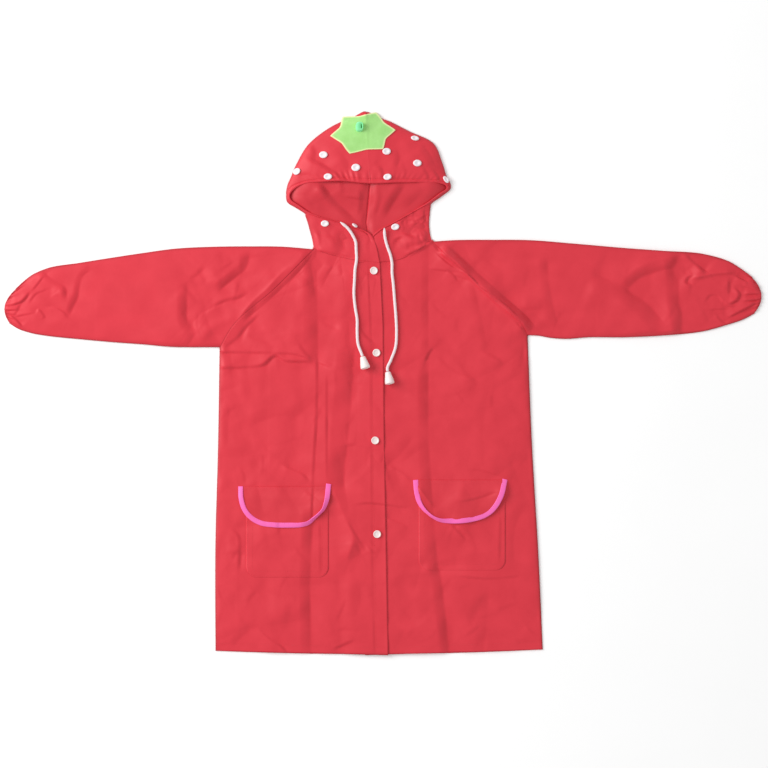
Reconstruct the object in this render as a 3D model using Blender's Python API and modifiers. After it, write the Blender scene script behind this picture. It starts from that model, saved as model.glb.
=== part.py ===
"""Child's hooded raincoat with a strawberry hood, laid flat on its back and snapped shut.

+X runs towards the wearer's left sleeve, +Y towards the hood and +Z up out of the table. The
origin is on the table under the middle of the laid-out coat. Left and right are the wearer's,
so the right front, at -X, is the one that laps over. Every panel is a cloth shell, and what is
sewn or snapped on a panel is draped on that panel's own surface and moved out.
"""

import math

import bmesh
import bpy
import numpy as np
from mathutils import Matrix, Vector
from mathutils.bvhtree import BVHTree

# Driving dimensions, in metres.
CLOTH = 0.0012  # coated nylon with its seam turnings
GAP = 0.0004  # clearance between neighbouring pieces
LAYER = CLOTH + GAP
SEAM_SIDE = 0.0008  # how far each piece stops short of a curved raglan seam
FRONT_Z = 1.5 * CLOTH + GAP  # middle of a front panel that lies straight on the back
PUFF = 0.0020  # air under the middle of the fronts
UNDERLAP = 0.036  # how far the left front runs on under the right one
SLEEVE_HEIGHT = 0.0050
SLEEVE_COLUMNS, CUFF_COLUMNS, UNDER_POINTS = 11, 25, 11  # across the upper layer and the underside
SEAM_FADE = (1.0, 0.62, 0.25)  # how closely the first sleeve sections follow the raglan seam
CUFF_HEIGHT = 0.0058
CUFF_GATHERS = 5
GATHER_DEPTH = 0.0009
HOOD_FOLD_Z = 0.0015  # middle of the cloth where the hood's side turns under
HEM_Y = -0.4216
SNAP_DIAMETER, SNAP_HEIGHT = 0.0120, 0.0032
SEED_LENGTH, SEED_WIDTH, SEED_HEIGHT = 0.0132, 0.0102, 0.0024
CORD_DIAMETER = 0.0043
TAPE_WIDTH, TAPE_THICKNESS = 0.0070, 0.0020
CALYX_REACH, CALYX_SQUASH, CALYX_TIPS = 0.0540, 0.62, 6
CALYX_TURN = math.radians(8)
STEM_DIAMETER, STEM_HEIGHT = 0.0100, 0.0130

# Seam lines on the table, from the hem up and from the armpit to the neck: x, y.
SIDE_SEAM = {
    "right": [(-0.2590, -0.4150), (-0.2590, -0.2500), (-0.2550, -0.1000), (-0.2525, 0.0560)],
    "left": [(0.2470, -0.4130), (0.2405, -0.2700), (0.2300, -0.0900), (0.2235, 0.0740)],
}
RAGLAN_SEAM = {
    "right": [(-0.2525, 0.0560), (-0.2370, 0.0830), (-0.1660, 0.1480), (-0.1070, 0.2070)],
    "left": [(0.2235, 0.0740), (0.2130, 0.0930), (0.1430, 0.1550), (0.0760, 0.2190)],
}
NECK_SEAM = {
    "right": [(-0.1070, 0.2070), (-0.0500, 0.1920), (-0.0050, 0.1865)],
    "left": [(0.0760, 0.2190), (0.0600, 0.2100), (0.0350, 0.1950), (-0.0400, 0.1865)],
}
BACK_NECK = [(-0.1070, 0.2070), (-0.0200, 0.2010), (0.0760, 0.2190)]
OVERLAP_EDGE = [
    (0.0080, HEM_Y),
    (0.0020, -0.0880),
    (0.0000, 0.0900),
    (-0.0050, 0.1865),
    (-0.0100, 0.2120),
    (-0.0190, 0.2310),
]
HOOD_SEAM = [(-0.0190, 0.2000), (-0.0260, 0.2480), (-0.0200, 0.3080), (-0.0275, 0.4250)]

# Largest folds on the upper layer: from x, y to x, y, half width, height (a trough is negative).
FOLDS = [
    (-0.103, 0.190, -0.115, -0.415, 0.020, -0.0010),
    (0.072, 0.195, 0.100, -0.415, 0.020, -0.0010),
    (-0.240, 0.052, -0.115, 0.036, 0.018, 0.0016),
    (-0.246, 0.018, -0.085, 0.018, 0.018, 0.0012),
    (-0.235, 0.090, -0.130, 0.165, 0.018, -0.0008),
    (0.200, 0.085, 0.110, 0.165, 0.018, -0.0008),
    (-0.079, -0.165, -0.057, -0.290, 0.018, 0.0010),
    (0.088, -0.225, 0.150, -0.245, 0.018, 0.0008),
    (-0.250, 0.144, -0.195, 0.190, 0.016, 0.0012),
    (-0.307, 0.160, -0.300, 0.085, 0.018, -0.0010),
    (-0.480, 0.170, -0.484, 0.100, 0.016, 0.0010),
    (0.335, 0.168, 0.453, 0.090, 0.018, -0.0010),
    (0.453, 0.168, 0.466, 0.080, 0.016, 0.0010),
]

# Sleeve sections from the raglan seam out to the cuff: top x, top y, underarm x, underarm y, height.
SLEEVE_SECTIONS = {
    "right": [
        (-0.1085, 0.2062, -0.2540, 0.0556, 0.0028),
        (-0.1560, 0.2110, -0.2620, 0.0556, 0.0034),
        (-0.2050, 0.2115, -0.2800, 0.0556, 0.0042),
        (-0.2590, 0.2110, -0.3000, 0.0556, SLEEVE_HEIGHT),
        (-0.3210, 0.2080, -0.3340, 0.0565, SLEEVE_HEIGHT),
        (-0.3700, 0.2015, -0.3720, 0.0600, SLEEVE_HEIGHT),
        (-0.4200, 0.1940, -0.4200, 0.0635, SLEEVE_HEIGHT),
        (-0.4700, 0.1860, -0.4700, 0.0680, SLEEVE_HEIGHT),
        (-0.5190, 0.1780, -0.5190, 0.0730, SLEEVE_HEIGHT),
        (-0.5400, 0.1695, -0.5410, 0.0765, 0.0054),
    ],
    "left": [
        (0.0785, 0.2190, 0.2250, 0.0742, 0.0028),
        (0.1130, 0.2212, 0.2400, 0.0735, 0.0034),
        (0.1650, 0.2216, 0.2600, 0.0700, 0.0042),
        (0.2250, 0.2212, 0.2850, 0.0685, SLEEVE_HEIGHT),
        (0.2990, 0.2155, 0.3200, 0.0710, SLEEVE_HEIGHT),
        (0.3740, 0.2090, 0.3760, 0.0710, SLEEVE_HEIGHT),
        (0.4350, 0.2046, 0.4350, 0.0738, SLEEVE_HEIGHT),
        (0.4980, 0.1995, 0.4980, 0.0806, SLEEVE_HEIGHT),
        (0.5350, 0.1890, 0.5330, 0.0900, 0.0054),
    ],
}
# Cuff sections: the same columns, then how far the middle bows out past the two corners.
CUFF_SECTIONS = {
    "right": [
        (-0.5412, 0.1688, -0.5420, 0.0768, CUFF_HEIGHT, 0.0010),
        (-0.5560, 0.1580, -0.5640, 0.0835, CUFF_HEIGHT, 0.0080),
        (-0.5690, 0.1460, -0.5790, 0.0925, CUFF_HEIGHT, 0.0120),
    ],
    "left": [
        (0.5355, 0.1885, 0.5335, 0.0903, CUFF_HEIGHT, 0.0000),
        (0.5560, 0.1760, 0.5580, 0.0985, CUFF_HEIGHT, 0.0060),
        (0.5720, 0.1640, 0.5760, 0.1080, CUFF_HEIGHT, 0.0123),
    ],
}

# Hood sections from the neck seam up to the crown: the brim's x, y, z, the point of the silhouette
# where the cloth turns under, x, y, and the height y at which it meets the centre back seam.
HOOD_SECTIONS = {
    "left": [
        (-0.0360, 0.1880, 0.0022, 0.0745, 0.2200, 0.203),
        (-0.0310, 0.2120, 0.0028, 0.0725, 0.2320, 0.212),
        (-0.0120, 0.2330, 0.0036, 0.0712, 0.2450, 0.221),
        (0.0200, 0.2510, 0.0044, 0.0722, 0.2620, 0.230),
        (0.0480, 0.2670, 0.0048, 0.0735, 0.2720, 0.241),
        (0.0715, 0.2815, 0.0050, 0.0755, 0.2785, 0.254),
        (0.0870, 0.2935, 0.0052, 0.0910, 0.2895, 0.268),
        (0.0985, 0.3015, 0.0060, 0.1045, 0.3010, 0.281),
        (0.0960, 0.3065, 0.0090, 0.1045, 0.3085, 0.292),
        (0.0850, 0.3095, 0.0150, 0.0990, 0.3190, 0.302),
        (0.0620, 0.3100, 0.0240, 0.0930, 0.3410, 0.320),
        (0.0380, 0.3100, 0.0310, 0.0770, 0.3690, 0.340),
        (0.0160, 0.3095, 0.0350, 0.0410, 0.3910, 0.360),
        (-0.0040, 0.3085, 0.0370, 0.0050, 0.4080, 0.380),
        (-0.0204, 0.3080, 0.0380, -0.0240, 0.4210, 0.402),
    ],
    "right": [
        (-0.0060, 0.1870, 0.0040, -0.1062, 0.2085, 0.203),
        (-0.0100, 0.2110, 0.0048, -0.1100, 0.2250, 0.211),
        (-0.0185, 0.2300, 0.0058, -0.1135, 0.2370, 0.219),
        (-0.0420, 0.2410, 0.0060, -0.1155, 0.2450, 0.227),
        (-0.0670, 0.2500, 0.0060, -0.1180, 0.2530, 0.236),
        (-0.0930, 0.2560, 0.0058, -0.1200, 0.2585, 0.246),
        (-0.1150, 0.2650, 0.0054, -0.1215, 0.2630, 0.257),
        (-0.1300, 0.2750, 0.0052, -0.1340, 0.2710, 0.266),
        (-0.1425, 0.2840, 0.0052, -0.1485, 0.2810, 0.275),
        (-0.1440, 0.2920, 0.0070, -0.1500, 0.2930, 0.285),
        (-0.1350, 0.3020, 0.0130, -0.1480, 0.3060, 0.297),
        (-0.1180, 0.3090, 0.0210, -0.1425, 0.3190, 0.311),
        (-0.0950, 0.3110, 0.0280, -0.1335, 0.3400, 0.326),
        (-0.0700, 0.3120, 0.0330, -0.1150, 0.3700, 0.343),
        (-0.0500, 0.3110, 0.0360, -0.0800, 0.3970, 0.362),
        (-0.0340, 0.3090, 0.0375, -0.0500, 0.4110, 0.382),
        (-0.0210, 0.3080, 0.0380, -0.0310, 0.4210, 0.402),
    ],
}
HOOD_STEPS_OVER, HOOD_STEPS_UNDER = 7, 4
# The hood lies nearly flat: what a section gives above HOOD_LOW sinks to this share of it.
HOOD_LOW, HOOD_SAG = 0.0055, 0.52

# Patch pockets: centre x, top y, width, height, corner radius.
POCKETS = {
    "right": (-0.1480, -0.1610, 0.1280, 0.1400, 0.0160),
    "left": (0.1225, -0.1530, 0.1350, 0.1370, 0.0160),
}
# The bound edge of each flap, down one side, along the bottom and up the other: x, y.
FLAP_EDGE = {
    "right": [
        (-0.2210, -0.1560),
        (-0.2160, -0.1820),
        (-0.2040, -0.2010),
        (-0.1860, -0.2160),
        (-0.1660, -0.2215),
        (-0.1410, -0.2215),
        (-0.1200, -0.2190),
        (-0.1060, -0.2090),
        (-0.0920, -0.1930),
        (-0.0840, -0.1560),
    ],
    "left": [
        (0.0490, -0.1480),
        (0.0550, -0.1780),
        (0.0680, -0.2000),
        (0.0860, -0.2115),
        (0.1080, -0.2140),
        (0.1360, -0.2115),
        (0.1610, -0.2030),
        (0.1790, -0.1830),
        (0.1890, -0.1480),
    ],
}
# Caps: a turned profile from the dimple at the middle out to the rim, as shares of radius and height.
CAP_PROFILE = [(0.0, 0.62), (0.30, 0.80), (0.55, 0.92), (0.85, 0.62), (1.0, 0.25), (1.0, 0.0)]
CAP_SIDES = 12
SNAPS = [(-0.0140, 0.1740), (-0.0100, 0.0470), (-0.0120, -0.0890), (-0.0090, -0.2340)]
# Seeds: x, y, turn in degrees.
SEEDS = [
    (-0.0920, 0.3530, 0),
    (-0.1300, 0.3290, 20),
    (-0.0850, 0.3190, 0),
    (-0.0420, 0.3330, 5),
    (0.0055, 0.3580, 0),
    (0.0070, 0.3185, 10),
    (0.0480, 0.3760, -10),
    (0.0530, 0.3400, 0),
    (0.0930, 0.3140, -35),
    (-0.0900, 0.2470, 0),
    (0.0190, 0.2420, 12),
]
# Drawcord routes from the brim down the front, on top of the cloth: x, y, z.
CORD_ROUTES = {
    "right": [
        (-0.0660, 0.2490, 0.0112),
        (-0.0550, 0.2400, 0.0108),
        (-0.0460, 0.2270, 0.0105),
        (-0.0425, 0.2190, 0.0102),
        (-0.0415, 0.2060, 0.0100),
        (-0.0410, 0.1900, 0.0098),
        (-0.0430, 0.1780, 0.0096),
        (-0.0440, 0.1600, 0.0094),
        (-0.0450, 0.1390, 0.0092),
        (-0.0430, 0.1170, 0.0092),
        (-0.0400, 0.0980, 0.0092),
        (-0.0400, 0.0800, 0.0092),
        (-0.0385, 0.0600, 0.0098),
        (-0.0330, 0.0450, 0.0112),
        (-0.0318, 0.0415, 0.0115),
    ],
    "left": [
        (0.0020, 0.2400, 0.0092),
        (0.0030, 0.2260, 0.0090),
        (0.0065, 0.2120, 0.0086),
        (0.0115, 0.1980, 0.0082),
        (0.0140, 0.1850, 0.0080),
        (0.0140, 0.1720, 0.0078),
        (0.0160, 0.1530, 0.0076),
        (0.0180, 0.1280, 0.0076),
        (0.0200, 0.1030, 0.0076),
        (0.0210, 0.0780, 0.0076),
        (0.0195, 0.0560, 0.0078),
        (0.0120, 0.0350, 0.0080),
        (0.0068, 0.0220, 0.0096),
        (0.0072, 0.0180, 0.0099),
    ],
}
CORD_POINTS = 28
# Where each bell's wide end comes to lie: x, y, z.
BELL_ENDS = {"right": (-0.0268, 0.0224, 0.0146), "left": (0.0112, -0.0034, 0.0130)}
# Cord end, from the mouth of the bell to its neck: distance from the neck, radius.
BELL_PROFILE = [(0.0190, 0.0064), (0.0180, 0.0075), (0.0150, 0.0072), (0.0070, 0.0054), (0.0000, 0.0044)]

SIDES = {"right": -1, "left": 1}
COLOURS = {  # sRGB 0 to 1, roughness
    "shell red": ((0.89, 0.27, 0.31), 0.45),
    "leaf green": ((0.70, 0.92, 0.57), 0.60),
    "stem green": ((0.53, 0.95, 0.64), 0.55),
    "white plastic": ((0.97, 0.94, 0.92), 0.35),
    "cord white": ((0.96, 0.94, 0.95), 0.80),
    "pink tape": ((1.00, 0.45, 0.74), 0.60),
}


def clear_scene():
    for obj in list(bpy.data.objects):
        bpy.data.objects.remove(obj)


def make_material(name, srgb, roughness):
    """A Principled material whose colour is given as it looks on screen."""
    made = bpy.data.materials.new(name)
    made.use_nodes = True
    shader = made.node_tree.nodes["Principled BSDF"]
    linear = [((c + 0.055) / 1.055) ** 2.4 if c > 0.04 else c / 12.92 for c in srgb]
    shader.inputs["Base Color"].default_value = (*linear, 1.0)
    shader.inputs["Roughness"].default_value = roughness
    return made


def add_object(name, points, faces, colour):
    """A mesh object in the coat's collection, with its faces turned outwards where it is closed."""
    mesh = bpy.data.meshes.new(name)
    mesh.from_pydata([tuple(p) for p in points], [], faces)
    mesh.shade_smooth()
    mesh.set_sharp_from_angle(angle=math.radians(40))
    made = bpy.data.objects.new(name, mesh)
    made.data.materials.append(make_material(name, *COLOURS[colour]))
    coat.objects.link(made)
    return made


def turn_outwards(made):
    cage = bmesh.new()
    cage.from_mesh(made.data)
    bmesh.ops.recalc_face_normals(cage, faces=cage.faces)
    cage.to_mesh(made.data)
    cage.free()


def grid_faces(rows, columns, first=0, loop=False):
    """Quads between the rows of a grid whose points are numbered row by row from first."""
    wrap = columns if loop else columns - 1
    return [
        (
            first + r * columns + c,
            first + r * columns + (c + 1) % columns,
            first + (r + 1) * columns + (c + 1) % columns,
            first + (r + 1) * columns + c,
        )
        for r in range(rows - 1)
        for c in range(wrap)
    ]


def give_wall(made, thickness):
    """Half of the cloth's thickness on each side of its middle surface."""
    wall = made.modifiers.new("cloth", "SOLIDIFY")
    wall.thickness = thickness
    wall.offset = 0


def cloth_shell(name, grid, colour, thickness=CLOTH):
    """A panel: the surface through the middle of the cloth, given its wall by Solidify."""
    rows, columns = grid.shape[:2]
    made = add_object(name, grid.reshape(-1, 3), grid_faces(rows, columns), colour)
    give_wall(made, thickness)
    return made


def cloth_tube(name, outer, inner, colour):
    """A sleeve or cuff: an outer and an inner skin of rings, joined by a rim at each open end."""
    rings, count = outer.shape[:2]
    points = np.concatenate([outer.reshape(-1, 3), inner.reshape(-1, 3)])
    start = rings * count
    faces = grid_faces(rings, count, 0, True) + grid_faces(rings, count, start, True)
    for ring in (0, (rings - 1) * count):
        for c in range(count):
            after = (c + 1) % count
            faces.append((ring + c, ring + after, start + ring + after, start + ring + c))
    made = add_object(name, points, faces, colour)
    turn_outwards(made)
    return made


def curve_through(points, fractions):
    """Points of a smooth curve through the given ones, at these fractions of its chord length."""
    knots = np.array(points, float)
    lengths = np.r_[0, np.cumsum(np.linalg.norm(np.diff(knots, axis=0), axis=1))]
    slopes = np.gradient(knots, lengths, axis=0)
    at = np.clip(np.asarray(fractions, float), 0, 1) * lengths[-1]
    i = np.clip(np.searchsorted(lengths, at, side="right") - 1, 0, len(knots) - 2)
    span = (lengths[i + 1] - lengths[i])[:, None]
    f = (at - lengths[i])[:, None] / span
    return (
        (2 * f**3 - 3 * f**2 + 1) * knots[i]
        + (f**3 - 2 * f**2 + f) * span * slopes[i]
        + (3 * f**2 - 2 * f**3) * knots[i + 1]
        + (f**3 - f**2) * span * slopes[i + 1]
    )


def smooth_step(value):
    held = np.clip(value, 0, 1)
    return held * held * (3 - 2 * held)


def shifted(line, distance):
    """The points of a seam line moved sideways, to the left of its direction where positive."""
    along = np.gradient(line, axis=0)
    along /= np.linalg.norm(along, axis=1, keepdims=True)
    return line + distance * np.stack([-along[:, 1], along[:, 0]], axis=1)


def overlap_x(y):
    """The free edge of the right front, which laps over the left one."""
    edge = np.array(OVERLAP_EDGE)
    return np.interp(y, edge[:, 1], edge[:, 0])


def fold_height(x, y):
    """The folds' height: each a soft ridge or trough that fades out at both ends."""
    total = np.zeros_like(x)
    for x0, y0, x1, y1, width, height in FOLDS:
        dx, dy = x1 - x0, y1 - y0
        along = ((x - x0) * dx + (y - y0) * dy) / (dx * dx + dy * dy)
        near = np.clip(along, 0, 1)
        away = np.hypot(x - x0 - near * dx, y - y0 - near * dy)
        total += height * np.exp(-((away / width) ** 2)) * smooth_step(4 * near * (1 - near) + 0.3)
    return total


def body_lay(x, y):
    """How far the upper layer of the body stands off the back: nothing at its sewn borders."""
    margin = 0.045
    room = smooth_step((y - HEM_Y) / margin)
    for side, sign in SIDES.items():
        for seam in (SIDE_SEAM[side], RAGLAN_SEAM[side]):
            (x0, y0), (x1, y1) = seam[0], seam[-1]
            long = math.hypot(x1 - x0, y1 - y0)
            inside = ((x1 - x0) * (y - y0) - (y1 - y0) * (x - x0)) * sign / long
            room = room * smooth_step((inside - 0.002) / margin)
    return room * (PUFF + fold_height(x, y))


def overlap_step(x, y):
    """The right front rises by one layer before it reaches the edge of the left front."""
    return LAYER * smooth_step((x - overlap_x(y) + 0.078) / 0.026)


def front_panel(side):
    """Rows from the hem to the neck seam, each from the centre edge out to the side or raglan seam."""
    body_rows, yoke_rows, columns = 18, 9, 11
    armpit_share = 0.72
    share = np.r_[np.linspace(0, armpit_share, body_rows), np.linspace(armpit_share, 1, yoke_rows)[1:]]
    side_seam = curve_through(SIDE_SEAM[side], np.linspace(0, 1, body_rows))
    raglan = curve_through(RAGLAN_SEAM[side], np.linspace(0, 1, yoke_rows))
    outer = np.concatenate([side_seam, shifted(raglan, SIDES[side] * SEAM_SIDE)[1:]])
    inner_y = HEM_Y + share * (0.1860 - HEM_Y)
    inner_x = overlap_x(inner_y) - (UNDERLAP if side == "left" else 0)
    inner = np.stack([inner_x, inner_y], axis=1)
    across = np.linspace(0, 1, columns)[None, :, None]
    flat = inner[:, None] * (1 - across) + outer[:, None] * across
    neck = curve_through(NECK_SEAM[side][::-1], np.linspace(0, 1, columns))
    neck[:, 1] -= GAP / 2
    near_neck = smooth_step((share - 0.86) / 0.14)[:, None, None]
    flat = flat + near_neck * (neck - flat[-1])
    x, y = flat[..., 0], flat[..., 1]
    z = FRONT_Z + body_lay(x, y)
    if side == "right":
        z = z + overlap_step(x, y)
    return cloth_shell(f"{side}_front", facing_up(side, np.dstack([x, y, z])), "shell red")


def back_panel():
    """The back lies flat on the table, a little inside the sleeves and the hood that meet it."""
    rows_low, rows_high, columns = 6, 9, 9
    edges = {}
    for side, sign in SIDES.items():
        side_seam = curve_through(SIDE_SEAM[side], np.linspace(0, 1, rows_low))
        raglan = curve_through(RAGLAN_SEAM[side], np.linspace(0, 1, rows_high))
        edges[side] = np.concatenate([side_seam, shifted(raglan, sign * SEAM_SIDE)[1:]])
    across = np.linspace(0, 1, columns)[None, :, None]
    flat = edges["right"][:, None] * (1 - across) + edges["left"][:, None] * across
    neck = curve_through(BACK_NECK, np.linspace(0, 1, columns)) - (0, 2 * GAP)
    flat[-1, 1:-1] = neck[1:-1]
    hem_dip = 0.006 * 4 * across[0] * (1 - across[0])
    flat[0, :, 1] -= hem_dip[:, 0]
    grid = np.dstack([flat, np.full(flat.shape[:2], CLOTH / 2)])
    return cloth_shell("back_panel", grid, "shell red")


def flat_ring(top, under, height, upper_line, share, folded, ripple=0.0):
    """One section of a flattened tube, as an outer and an inner ring.

    It runs over the upper layer from the top fold to the underarm fold, and back underneath.
    share is the upper points' places across, and upper_line their places on the table.
    """
    top, under = np.array(top), np.array(under)
    across = (under - top) / np.linalg.norm(under - top)
    radius = height / 2
    lower_share = np.linspace(1, 0, UNDER_POINTS)
    lower_line = np.stack([np.interp(lower_share, share, upper_line[:, k]) for k in (0, 1)], axis=1)
    room = height - 2 * CLOTH - GAP
    loose = (1 - (2 * share - 1) ** 4) * np.clip(room / GAP, 0, 1)
    rise = np.maximum(folded * loose, -room) + ripple
    skins = []
    for wall in (0.0, CLOTH):
        over = np.c_[upper_line, height - wall + rise]
        below = np.c_[lower_line, np.full(UNDER_POINTS, wall)]
        apex_under = np.r_[under + across * (radius - wall), radius]
        apex_top = np.r_[top - across * (radius - wall), radius]
        skins.append(np.concatenate([over, [apex_under], below, [apex_top]]))
    return skins


def sleeve_rings(side, sections, columns, seam=None, gathers=0):
    """Outer and inner rings of a sleeve or cuff from its table of sections.

    The first sections follow the seam's own curve, which fades out along the sleeve.
    """
    share = np.linspace(0, 1, columns)
    outer, inner = [], []
    for index, row in enumerate(sections):
        top, under, height = np.array(row[:2]), np.array(row[2:4]), row[4]
        across = (under - top) / np.linalg.norm(under - top)
        inset = height / 2
        ends = top + across * inset, under - across * inset
        line = ends[0] + share[:, None] * (ends[1] - ends[0])
        if len(row) > 5:
            line[:, 0] += SIDES[side] * row[5] * 4 * share * (1 - share)
        if seam is not None and index < len(SEAM_FADE):
            chord = seam[0] + share[:, None] * (seam[-1] - seam[0])
            line = line + SEAM_FADE[index] * (seam - chord)
        x, y = line[:, 0], line[:, 1]
        ripple = 0.0
        if gathers:
            ripple = GATHER_DEPTH * (np.cos(2 * math.pi * gathers * share) - 1) * (0.4 + 0.3 * index)
        rings = flat_ring(top, under, height, line, share, fold_height(x, y), ripple)
        outer.append(rings[0])
        inner.append(rings[1])
    return np.array(outer), np.array(inner)


def sleeve(side):
    seam = curve_through(RAGLAN_SEAM[side][::-1], np.linspace(0.02, 0.98, SLEEVE_COLUMNS))
    seam = shifted(seam, SIDES[side] * SEAM_SIDE)
    outer, inner = sleeve_rings(side, SLEEVE_SECTIONS[side], SLEEVE_COLUMNS, seam)
    return cloth_tube(f"{side}_sleeve", outer, inner, "shell red")


def cuff(side):
    outer, inner = sleeve_rings(side, CUFF_SECTIONS[side], CUFF_COLUMNS, gathers=CUFF_GATHERS)
    return cloth_tube(f"{side}_cuff", outer, inner, "shell red")


def hood_seam_x(y):
    seam = np.array(HOOD_SEAM)
    return np.interp(y, seam[:, 1], seam[:, 0])


def hood_side(side):
    """One half of the hood: from its brim over the top, round the silhouette and under to the seam."""
    rows = []
    over = np.sin(np.linspace(0, math.pi / 2, HOOD_STEPS_OVER + 1))
    under = np.linspace(0, 1, HOOD_STEPS_UNDER + 1)[1:]
    sections = HOOD_SECTIONS[side]
    for index, (brim_x, brim_y, brim_z, fold_x, fold_y, seam_y) in enumerate(sections):
        brim_z = min(brim_z, HOOD_LOW) + HOOD_SAG * max(brim_z - HOOD_LOW, 0.0)
        brim, fold = np.array([brim_x, brim_y]), np.array([fold_x, fold_y])
        seam = np.array([hood_seam_x(seam_y) + SIDES[side] * GAP, seam_y])
        upper = brim + over[:, None] * (fold - brim)
        z = HOOD_FOLD_Z + (brim_z - HOOD_FOLD_Z) * np.sqrt(1 - over**2)
        on_body = FRONT_Z + body_lay(upper[:, 0], upper[:, 1])
        if side == "right":
            on_body = on_body + overlap_step(upper[:, 0], upper[:, 1])
        z[:-1] = np.maximum(z, on_body)[:-1]
        turn = fold + 0.03 * (seam - fold)
        lower = np.concatenate([[turn], fold + under[:, None] * (seam - fold)])
        if index == 0:
            neck = curve_through(NECK_SEAM[side][::-1], over)
            upper[:, 1] = neck[:, 1] + GAP / 2
            upper[:, 0] = neck[:, 0]
            upper[-1] = fold
            back = curve_through(BACK_NECK, np.linspace(0, 1, 30))
            lower[:, 1] = np.interp(lower[:, 0], back[:, 0], back[:, 1]) + GAP
        line = np.concatenate([upper, lower])
        if index == len(sections) - 1:
            line[:, 0] = hood_seam_x(line[:, 1]) + SIDES[side] * GAP
        heights = np.concatenate([z, np.full(len(lower), CLOTH / 2)])
        rows.append(np.c_[line, heights])
    grid = np.array(rows)
    return cloth_shell(f"hood_{side}", facing_up(side, grid), "shell red")


def facing_up(side, grid):
    """A right side's rows run towards -X, so its columns are turned round to face the cloth up."""
    return grid if side == "left" else grid[:, ::-1]


def tree_of(*objects):
    """A search tree over the evaluated surfaces of these pieces, to drape others on."""
    graph = bpy.context.evaluated_depsgraph_get()
    points, faces = [], []
    for made in objects:
        evaluated = made.evaluated_get(graph)
        mesh = evaluated.to_mesh()
        first = len(points)
        points += [made.matrix_world @ v.co for v in mesh.vertices]
        faces += [tuple(first + i for i in face.vertices) for face in mesh.polygons]
        evaluated.to_mesh_clear()
    return BVHTree.FromPolygons(points, faces)


def surface_z(tree, x, y, reach=0.0):
    """The highest surface within reach of a point, looking down, or the table where there is none."""
    around = (-reach, 0.0, reach) if reach else (0.0,)
    above, down = 0.2, Vector((0, 0, -1))
    hits = [tree.ray_cast(Vector((x + dx, y + dy, above)), down)[0] for dx in around for dy in around]
    return max((hit.z for hit in hits if hit is not None), default=0.0)


def draped(tree, flat, rise, reach):
    """Points of a flat grid laid on what is below them, their middle this far above it."""
    grid = np.zeros(flat.shape[:2] + (3,))
    grid[..., :2] = flat
    for place in np.ndindex(flat.shape[:2]):
        grid[(*place, 2)] = surface_z(tree, *flat[place], reach) + rise
    return grid


def pocket(side, tree):
    """A patch pocket with round bottom corners, laid on its front panel."""
    middle, top, width, height, radius = POCKETS[side]
    corner = height - radius * (1 - np.sin(np.radians((30, 60, 90))))
    depth = np.r_[np.linspace(0, height - radius, 5), corner]
    into = np.clip(depth - (height - radius), 0, radius)
    half = width / 2 - radius + np.sqrt(radius**2 - into**2)
    across = np.linspace(-1, 1, 7)
    x = middle + half[:, None] * across[None]
    y = np.repeat((top - depth)[:, None], len(across), axis=1)
    grid = draped(tree, np.dstack([x, y]), GAP + CLOTH / 2, 0.006)
    return cloth_shell(f"{side}_pocket", grid[:, ::-1], "shell red")


def flap_frame(side):
    """The flap's bound edge as a smooth line, with its inward direction at each point."""
    line = curve_through(FLAP_EDGE[side], np.linspace(0, 1, 25))
    return line, (shifted(line, 1.0) - line)


def flap(side, tree):
    """A flap: a fan of rows from its straight sewn edge down to the inside of its binding."""
    line, inward = flap_frame(side)
    edge = line + inward * (TAPE_WIDTH / 2 + GAP)
    top_y = line[0, 1]
    edge[0, 1] = edge[-1, 1] = top_y
    along = 0.5 - 0.5 * np.cos(np.linspace(0, math.pi, len(edge)))
    top_x = edge[0, 0] + (edge[-1, 0] - edge[0, 0]) * along
    top = np.stack([top_x, np.full(len(edge), top_y)], axis=1)
    down = np.array([0, 0.35, 0.7, 1.0])
    flat = (top + down[:, None, None] * (edge - top))[:, 1:-1]
    grid = draped(tree, flat, GAP + CLOTH / 2, 0.006)
    return cloth_shell(f"{side}_pocket_flap", grid[::-1], "shell red")


def flap_binding(side, tree):
    """The tape that binds the flap's edge, a flat band bent round the same line."""
    line, inward = flap_frame(side)
    across = np.array([-0.5, 0.5]) * (TAPE_WIDTH - GAP)
    flat = line[None] + across[:, None, None] * inward[None]
    grid = draped(tree, flat, GAP + TAPE_THICKNESS / 2, 0.008)
    return cloth_shell(f"{side}_flap_binding", grid[::-1], "pink tape", TAPE_THICKNESS)


def domed_cap(name, place, up, length, width, height, turn):
    """A low cap on a point of the cloth: a turned dome with a dimple, stretched into an oval."""
    angles = [2 * math.pi * k / CAP_SIDES for k in range(CAP_SIDES)]
    points = [(0, 0, CAP_PROFILE[0][1])]
    for radius, rise in CAP_PROFILE[1:]:
        points += [(radius * math.cos(angle), radius * math.sin(angle), rise) for angle in angles]
    faces = [(0, 1 + k, 1 + (k + 1) % CAP_SIDES) for k in range(CAP_SIDES)]
    faces += grid_faces(len(CAP_PROFILE) - 1, CAP_SIDES, 1, True)
    faces.append(tuple(range(len(points) - CAP_SIDES, len(points))))
    made = add_object(name, points, faces, "white plastic")
    shape = Matrix.Diagonal((length / 2, width / 2, height, 1))
    made.data.transform(Matrix.Rotation(math.radians(turn), 4, "Z") @ shape)
    turn_outwards(made)
    made.rotation_mode = "QUATERNION"
    made.rotation_quaternion = Vector((0, 0, 1)).rotation_difference(Vector(up))
    made.location = Vector(place)
    return made


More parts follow.
